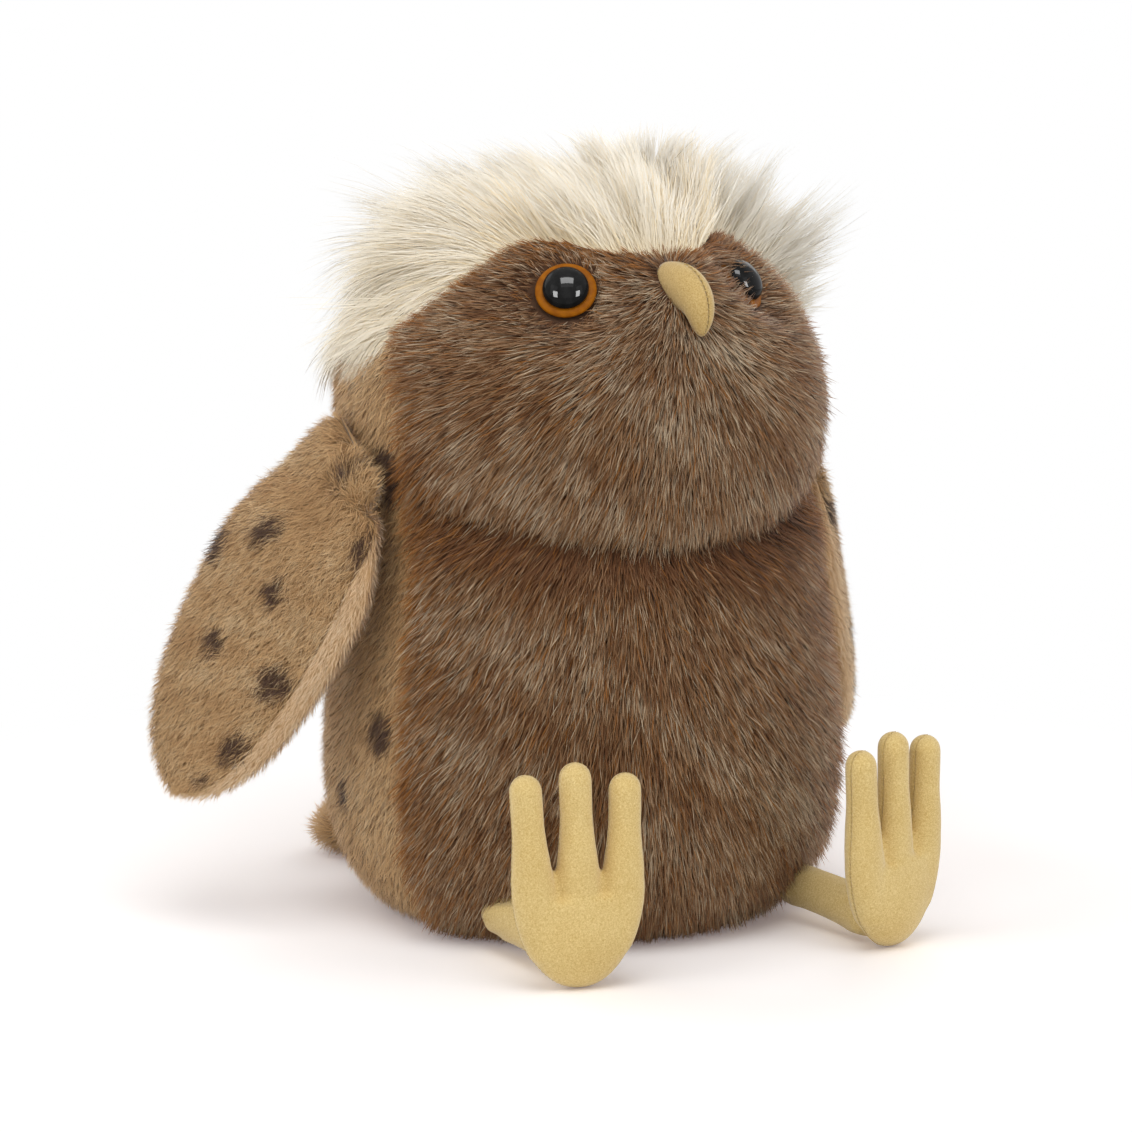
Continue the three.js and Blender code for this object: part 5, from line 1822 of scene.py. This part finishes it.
    def build(self) -> None:
        """Makes the two panels and their pile."""
        word, wrap = self.side.word, math.radians(self.wrap_deg)
        for name, low, high, tint, extra in (("outer", wrap, math.pi, "tan", (f"wing_stuffing_{word}",)),
                                             ("inner", math.pi, TURN + wrap, "pale", ())):
            angles = np.linspace(low + self.seam_angle, high - self.seam_angle, 60)
            if self.side is Side.LEFT:
                angles = angles[::-1]
            cloth, outer = self.panel(f"wing_{name}_cloth_{word}", angles)
            dress(cloth, f"{tint}_backing", f"wing_{word}", (f"wing_{name}_panel_{word}",) + extra)
            strands = self.pile(name, angles, outer)
            dress(strands, f"{tint}_fibre", f"wing_{word}")

    def pile(self, name: str, angles: Array, points: Array) -> Piece:
        """Pile of one panel.

        Args:
            name: "outer" or "inner".
            angles: Section angles of the columns.
            points: The panel's outer points as (columns, rows, 3).

        Returns:
            The strands.
        """
        shape, spotted = points.shape[:2], name == "outer"
        share = np.broadcast_to(np.concatenate([np.zeros(self.root_rows), self.shares()]), shape)
        fields = {"share": share.copy(), "across": np.broadcast_to(np.cos(angles)[:, None], shape).copy()}
        kind = self.tan if spotted else self.pale
        at, normal = self.rooted(points, fields, kind.density, 71 + self.side.value)
        rng = np.random.default_rng(72)
        n = len(normal)
        mottle = 0.20 * patchy(at["point"], 16, 73) + 0.16 * patchy(at["point"], 4.5, 74)
        tone = 0.55 + mottle * (1.0 if spotted else 0.5) + rng.normal(0, 0.15, n)
        tone = np.clip(tone, 0.2, 0.97)
        if spotted:
            ragged = 1.1 * patchy(at["point"], 3.5, 76) + rng.normal(0, 1.2, n)
            for along, across, radius in self.spots:
                away = np.hypot((at["share"] - along) * self.length * 0.85, (at["across"] - across) * self.half_chord)
                tone = np.where((away + ragged < radius) & (rng.random(n) < 0.9), SPOT_TONE, tone)
        chart = np.stack([at["across"] * self.half_chord, at["share"] * self.length], -1)
        join = (1 - smooth(at["share"], *self.join_share)) * (at["across"] > -0.3) * spotted
        lie = at["dv"] * (1 - 1.9 * join[:, None]) + 0.15 * rng.normal(0, 1, (n, 1)) * at["du"]
        roots = Roots(at["point"], normal, lie, tone, chart, at["du"], at["dv"], 1 + 0.5 * join, 14 * join, np.zeros(n))
        return kind.grow(f"wing_{name}_pile_{self.side.word}", roots, 75 + self.side.value)


@dataclass
class Tail(Lobe):
    """A short flat lobe behind the body."""

    form: BodyForm = FORM
    turn_deg: float = 5.0
    root_height: float = 8.3
    root_radius: float = 6.4
    root_half_width: float = 20.0
    root_out_share: float = 0.7
    root_turns: tuple = (0.1, 0.95)
    length: float = 38.0
    half_width: float = 36.0
    widest: float = 0.45
    half_thickness: float = 8.0
    tip_powers: tuple = (2.2, 2.6)
    upper_fullness: float = 1.35
    fullness_start: tuple = (0.15, 0.5)
    seam_angle: float = 0.01
    tan: Pile = Pile(length=6.2, width=0.19, lift_deg=38, droop=0.10, density=4.0, clump=1.7, pull=0.2, steps=2,
                     ruffle=0.38, lift_jitter=14, even=0.8)
    spots: tuple = ((-18, 98, 4.5), (12, 92, 4.0), (-2, 106, 4.0))

    def grid(self, angles: Array, inset: float) -> Array:
        """Points of the tail's form.

        Args:
            angles: Angles of the section.
            inset: Depth under the form.

        Returns:
            Points as (rows, angles, 3).
        """
        out, side = around(180 + self.turn_deg, 1, 0), around(90 + self.turn_deg, 1, 0)
        seat = self.form.profile(self.form.station_of(self.root_height))[0] + self.joint_gap
        root = around(180 + self.turn_deg, seat + self.root_radius * self.root_out_share, self.root_height)
        radius = self.root_radius - inset
        cos, sin = np.cos(angles)[:, None], np.sin(angles)[:, None]
        rows = [root - out * radius * math.cos(t * QUARTER) - cos * side * (self.root_half_width - inset)
                + sin * UP * radius * math.sin(t * QUARTER) for t in np.linspace(*self.root_turns, 6)]
        for share in eased(36, 1.35):
            grown = math.sin(min(share / self.widest, 1) * QUARTER)
            run = max(share - self.widest, 0) / (1 - self.widest)
            wide, flat = (math.sqrt(1 - run**power) for power in self.tip_powers)
            half = max(lerp(self.root_half_width, self.half_width, grown) * wide - inset, self.thinnest)
            thick = max(lerp(self.root_radius, self.half_thickness, grown) * flat - inset, self.thinnest)
            full = np.where(sin > 0, lerp(1, self.upper_fullness, float(smooth(share, *self.fullness_start))), 1)
            rows.append(root + out * share * (self.length - inset) - cos * side * half + sin * UP * thick * full)
        return np.stack(rows)

    def build(self) -> None:
        """Makes both panels and their pile."""
        for name, low, extra in (("upper", 0.0, ("tail_stuffing",)), ("lower", math.pi, ())):
            cloth, outer = self.panel(f"tail_{name}_cloth",
                                      np.linspace(low + self.seam_angle, low + math.pi - self.seam_angle, 48))
            dress(cloth, "tan_backing", "tail", (f"tail_{name}_panel",) + extra)
            at, normal = self.rooted(outer, {}, self.tan.density, 81)
            rng = np.random.default_rng(82)
            point, n = at["point"], len(normal)
            tone = np.clip(0.55 + 0.12 * patchy(point, 18, 83) + rng.normal(0, 0.14, n), 0.2, 0.97)
            for x, y, radius in self.spots:
                away = np.hypot(point[:, 0] - x, point[:, 1] - y)
                tone = np.where(away + rng.normal(0, 0.8, n) < radius, SPOT_TONE, tone)
            roots = Roots(point, normal, at["dv"], tone, point[:, :2], at["du"], at["dv"], np.ones(n), np.zeros(n),
                          np.zeros(n))
            dress(self.tan.grow(f"tail_{name}_pile", roots, 84), "tan_fibre", "tail")


@dataclass
class Leg:
    """A sueded leg tube with the foot that stands at its end."""

    side: Side
    form: BodyForm = FORM
    hip_deg: float = 45.0
    hip_height: float = 10.5
    hip_sink: float = 0.5
    hip_radius: float = 6.3
    length: float = 36.2
    yaw_degs: tuple = (4.5, 0.3)
    ankle_radius: float = 7.0
    waist_share: float = 0.94
    end_turns: tuple = (0.1, 0.95)
    end_rows: int = 7
    folds: tuple = ((0.28, 4.0, 6.0), (0.22, -3.0, 5.0))
    ripple_turns: int = 7
    ripple_slant: float = 0.5
    sway: float = 0.12
    sway_turns: int = 3
    sway_slant: float = 0.23
    leg_floor: float = 0.2
    foot_floor: float = 0.15
    thread_floor: float = 0.12
    foot_yaw_deg: float = 14.0
    foot_lean_deg: float = 4.0
    foot_roll_degs: tuple = (-6.0, -3.0)
    ankle_height: float = 7.6
    ankle_back: float = 9.5
    palm_height: float = 31.5
    palm_shares: tuple = (0.03, 0.84)
    palm_top_share: float = 0.86
    palm_round_share: float = 0.95
    palm_half_width: float = 18.5
    palm_half_thickness: float = 6.6
    palm_heel_height: float = 14.0
    toe_radius: float = 5.1
    toe_root_radius: float = 6.3
    toe_tip_radius: float = 4.5
    toe_taper: tuple = (0.34, 0.8)
    toe_spread: float = 12.7
    toe_splay: float = 1.3
    toe_inset: float = 0.4
    near_toe_extra: float = 2.6
    toe_root_height: float = 22.0
    toe_foot_share: float = 0.45
    middle_toe_height: float = 64.0
    side_toe_height: float = 59.5
    voxel: float = 0.75
    calm_share: float = 0.5
    calm_rounds: int = 12
    seam_gap: float = 0.3
    stitch_step: float = 1.35
    stitch_half: float = 0.42
    stitch_slant: float = 0.22
    stitch_rise: tuple = (0.05, 0.12)
    thread_radius: float = 0.11
    middle_height: float = 30.0
    straight_half_width: float = 12.0

    def line(self) -> tuple[Array, Array]:
        """The leg's hip and ankle.

        Returns:
            Both points.
        """
        seat = self.form.point(self.side.value * self.hip_deg, self.form.station_of(self.hip_height), -self.hip_sink)
        hip = np.array([seat[0], seat[1], self.hip_height])
        lean = math.radians(self.foot_lean_deg)
        drop = self.hip_height - self.ankle_height * math.cos(lean) - self.ankle_back * math.sin(lean)
        run = math.sqrt(self.length**2 - drop**2)
        return hip, hip + around(self.side.pick(*self.yaw_degs), run, -drop)

    def place(self) -> Array:
        """The foot's 4x4 matrix in millimetres: the heel is under the ankle and the sole faces forward.

        Returns:
            The matrix.
        """
        matrix, axes = np.eye(4), np.eye(3)
        for axis, deg in ((LEFTWARD, self.foot_lean_deg), (BACKWARD, self.side.pick(*self.foot_roll_degs)),
                          (UP, self.side.value * self.foot_yaw_deg)):
            axes = turned_about(axes, axis, deg)
        matrix[:3, :3] = axes.T
        matrix[:3, 3] = self.line()[1] - axes.T @ [0, self.ankle_back, self.ankle_height]
        return matrix

    def settled(self, points: Array, lowest: float, matrix: Array) -> Array:
        """Points of the foot's frame put in their place and kept over the floor."""
        world = points @ matrix[:3, :3].T + matrix[:3, 3]
        return np.maximum(world, [-math.inf, -math.inf, lowest])

    def build(self) -> None:
        """Makes the tube and the foot."""
        self.tube()
        self.foot()

    def tube(self) -> None:
        """The leg tube, creased where it meets the body and the heel."""
        hip, ankle = self.line()
        along = ankle - hip
        length = np.linalg.norm(along)
        along = along / length
        across = unit(np.cross(UP, along))
        up = np.cross(along, across)
        ends = [(-self.hip_radius * math.cos(s * QUARTER), self.hip_radius * math.sin(s * QUARTER))
                for s in np.linspace(*self.end_turns, self.end_rows)]
        for s in np.linspace(0, 1, 40):
            waist = 1 - (1 - self.waist_share) * math.sin(math.pi * s)
            ends.append((s * length, lerp(self.hip_radius, self.ankle_radius, s) * waist))
        ends += [(length + self.ankle_radius * math.sin(s * QUARTER), self.ankle_radius * math.cos(s * QUARTER))
                 for s in np.linspace(*self.end_turns, self.end_rows)]
        angles = ring_of(64)
        spokes = np.cos(angles)[:, None] * across + np.sin(angles)[:, None] * up
        (hip_fold, hip_at, hip_width), (heel_fold, heel_at, heel_width) = self.folds
        rings = []
        for reach, radius in ends:
            fold = hip_fold * bump(reach, hip_at, hip_width) + heel_fold * bump(reach, length + heel_at, heel_width)
            ripple = (fold * np.sin(self.ripple_turns * angles + reach * self.ripple_slant)
                      + self.sway * np.sin(self.sway_turns * angles + reach * self.sway_slant))
            rings.append(hip + along * reach + spokes * (radius + ripple * min(radius / self.hip_radius, 1))[:, None])
        rings = np.stack(rings)
        rings[..., 2] = np.maximum(rings[..., 2], self.leg_floor)
        name = self.side.word
        body = ringed(hip - along * self.hip_radius, rings, ankle + along * self.ankle_radius)
        dress(solid(f"leg_suede_{name}", *body), "suede", f"leg_{name}",
              (f"leg_tube_{name}", f"leg_stuffing_{name}"))

    def lobes(self) -> list:
        """Points and faces of the rounded bodies that make up the foot, in its own frame.

        Returns:
            Points and faces of each body.
        """
        angles = ring_of(40)
        cos, sin = np.cos(angles)[:, None], np.sin(angles)[:, None]
        rings = []
        for share in np.linspace(*self.palm_shares, 26):
            height = share * self.palm_height
            rise = 1 - min(share / self.palm_round_share, 1)
            wide = self.palm_half_width * math.sqrt(1 - rise**2)
            heel = 1 - min(height / self.palm_heel_height, 1)
            slim = lerp(self.palm_half_thickness, self.toe_radius,
                        float(smooth(height, self.palm_heel_height, self.palm_height)))
            rings.append(cos * LEFTWARD * wide + sin * BACKWARD * (slim * math.sqrt(1 - heel**2)) + UP * height)
        made = [ringed(np.zeros(3), np.stack(rings), UP * self.palm_height * self.palm_top_share)]
        for offset, tip_height in ((-1, self.side_toe_height + self.near_toe_extra), (0, self.middle_toe_height),
                                   (1, self.side_toe_height)):
            foot, top = self.toe_foot_share * self.toe_root_height, tip_height - self.toe_tip_radius
            steps = [(foot + (top - foot) * s, self.toe_tip_radius + (self.toe_root_radius - self.toe_tip_radius)
                      * (1 - float(smooth(s, *self.toe_taper)))) for s in np.linspace(0, 1, 34)]
            steps += [(top + self.toe_tip_radius * math.sin(a), self.toe_tip_radius * math.cos(a))
                      for a in np.linspace(0.1, 1.45, 8)]
            rings = [self.toe_centre(offset, z, tip_height) + cos * LEFTWARD * r
                     + sin * BACKWARD * min(r, self.toe_radius) for z, r in steps]
            made.append(ringed(self.toe_centre(offset, foot, tip_height), np.stack(rings),
                               self.toe_centre(offset, tip_height, tip_height)))
        return made

    def toe_centre(self, offset: int, z: float, tip_height: float) -> Array:
        """Middle of a toe at a height: it keeps inside the palm below and splays above.

        Args:
            offset: -1, 0 or 1 across the foot.
            z: Height over the heel.
            tip_height: Height of the toe's tip.

        Returns:
            The point, in the foot's own frame.
        """
        rise = 1 - min(z / self.palm_height / self.palm_round_share, 1)
        inside = self.palm_half_width * math.sqrt(1 - rise**2) - self.toe_root_radius + self.toe_inset
        spread = self.toe_spread + self.toe_splay * float(smooth(z, self.toe_root_height, tip_height))
        return np.array([offset * min(spread, inside) if z < self.palm_height else offset * spread, 0.0, z])

    def foot(self) -> None:
        """The foot's sole and back, sewn together round the edge, with their stitches."""
        raw = solid("foot_raw", *merged(self.lobes()))
        grid = raw.modifiers.new("join", "REMESH")
        grid.mode, grid.voxel_size = "VOXEL", self.voxel * MM
        calm = raw.modifiers.new("calm", "SMOOTH")
        calm.factor, calm.iterations = self.calm_share, self.calm_rounds
        evaluated = raw.evaluated_get(bpy.context.evaluated_depsgraph_get())
        mesh = bpy.data.meshes.new_from_object(evaluated)
        bpy.data.objects.remove(raw)
        matrix, name = self.place(), self.side.word
        for part, sign in (("sole", -1), ("back", 1)):
            half, rim = self.half(mesh, part, sign)
            co = np.zeros(len(half.vertices) * 3, np.float32)
            half.vertices.foreach_get("co", co)
            world = self.settled(co.reshape(-1, 3) / MM, self.foot_floor, matrix)
            half.vertices.foreach_set("co", (world * MM).astype(np.float32).ravel())
            half.shade_smooth()
            obj = new_object(f"foot_{part}_suede_{name}", half)
            nodes = (f"foot_{part}_{name}",) + ((f"foot_stuffing_{name}",) if part == "sole" else ())
            dress(obj, "suede", f"foot_{name}", nodes)
        self.edge_seam(rim, matrix, name)

    def half(self, mesh: bpy.types.Mesh, part: str, sign: int) -> tuple[bpy.types.Mesh, Array]:
        """One half of the foot, cut along its edge.

        Args:
            mesh: The whole foot.
            part: Name of the half.
            sign: -1 in front of the edge, 1 behind it.

        Returns:
            The closed half, and its rim in millimetres.
        """
        bm = bmesh.new()
        bm.from_mesh(mesh)
        whole = bm.verts[:] + bm.edges[:] + bm.faces[:]
        bmesh.ops.bisect_plane(bm, geom=whole, plane_co=(0, sign * self.seam_gap / 2 * MM, 0),
                               plane_no=(0, -sign, 0), clear_outer=True)
        edges = [e for e in bm.edges if e.is_boundary]
        rim = self.loop(edges)
        bmesh.ops.triangle_fill(bm, use_beauty=True, edges=edges)
        bmesh.ops.recalc_face_normals(bm, faces=bm.faces[:])
        half = bpy.data.meshes.new(f"foot_{part}")
        bm.to_mesh(half)
        bm.free()
        return half, rim

    def loop(self, edges: list) -> Array:
        """The points of one closed loop of edges, in order and in millimetres.

        Args:
            edges: Boundary edges of one closed loop.

        Returns:
            The points.
        """
        first = edges[0].verts[0]
        order, here, left = [first], edges[0].verts[1], set(edges[1:])
        while here != first and left:
            order.append(here)
            step = next((e for e in here.link_edges if e in left), None)
            if step is None:
                break
            left.discard(step)
            here = step.other_vert(here)
        return np.array([v.co for v in order]) / MM

    def edge_seam(self, rim: Array, matrix: Array, name: str) -> None:
        """A fine ridge of thread along the foot's edge.

        Args:
            rim: Points along the edge, in the foot's frame.
            matrix: The foot's place.
            name: Side word.
        """
        steps = running(rim)
        count = int(steps[-1] / self.stitch_step)
        ends = np.linspace(-1, 1, 5)[:, None]
        parts = []
        for k in range(count):
            s = (k + 0.5) * steps[-1] / count
            place, ahead = (np.array([np.interp(at, steps, rim[:, i]) for i in range(3)])
                            for at in (s, min(s + 0.5, steps[-1])))
            along = unit(ahead - place + 1e-6)
            out = unit(np.cross(along, BACKWARD))
            inward = out @ (place - UP * self.middle_height) < 0
            if inward and abs(place[0]) > self.straight_half_width:
                out = -out
            path = (place + ends * (along * self.stitch_half + BACKWARD * self.stitch_slant)
                    + out * (self.stitch_rise[0] - self.stitch_rise[1] * ends**2))
            parts.append(thread(path, self.thread_radius, out, 5))
        points, faces = merged(parts)
        stitches = solid(f"foot_stitches_{name}", self.settled(points, self.thread_floor, matrix), faces)
        dress(stitches, "thread", f"foot_{name}")


def main() -> None:
    """Builds the scene in order and reports each piece."""
    logging.basicConfig(level=logging.INFO, format="%(message)s")
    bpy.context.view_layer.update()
    PhotoCamera().build()
    Studio().build()
    Body().build()
    Eyes().build()
    Beak().build()
    for side in Side:
        Wing(side).build()
        Leg(side).build()
    Tail().build()
    bpy.context.view_layer.update()


if __name__ == "__main__":
    main()
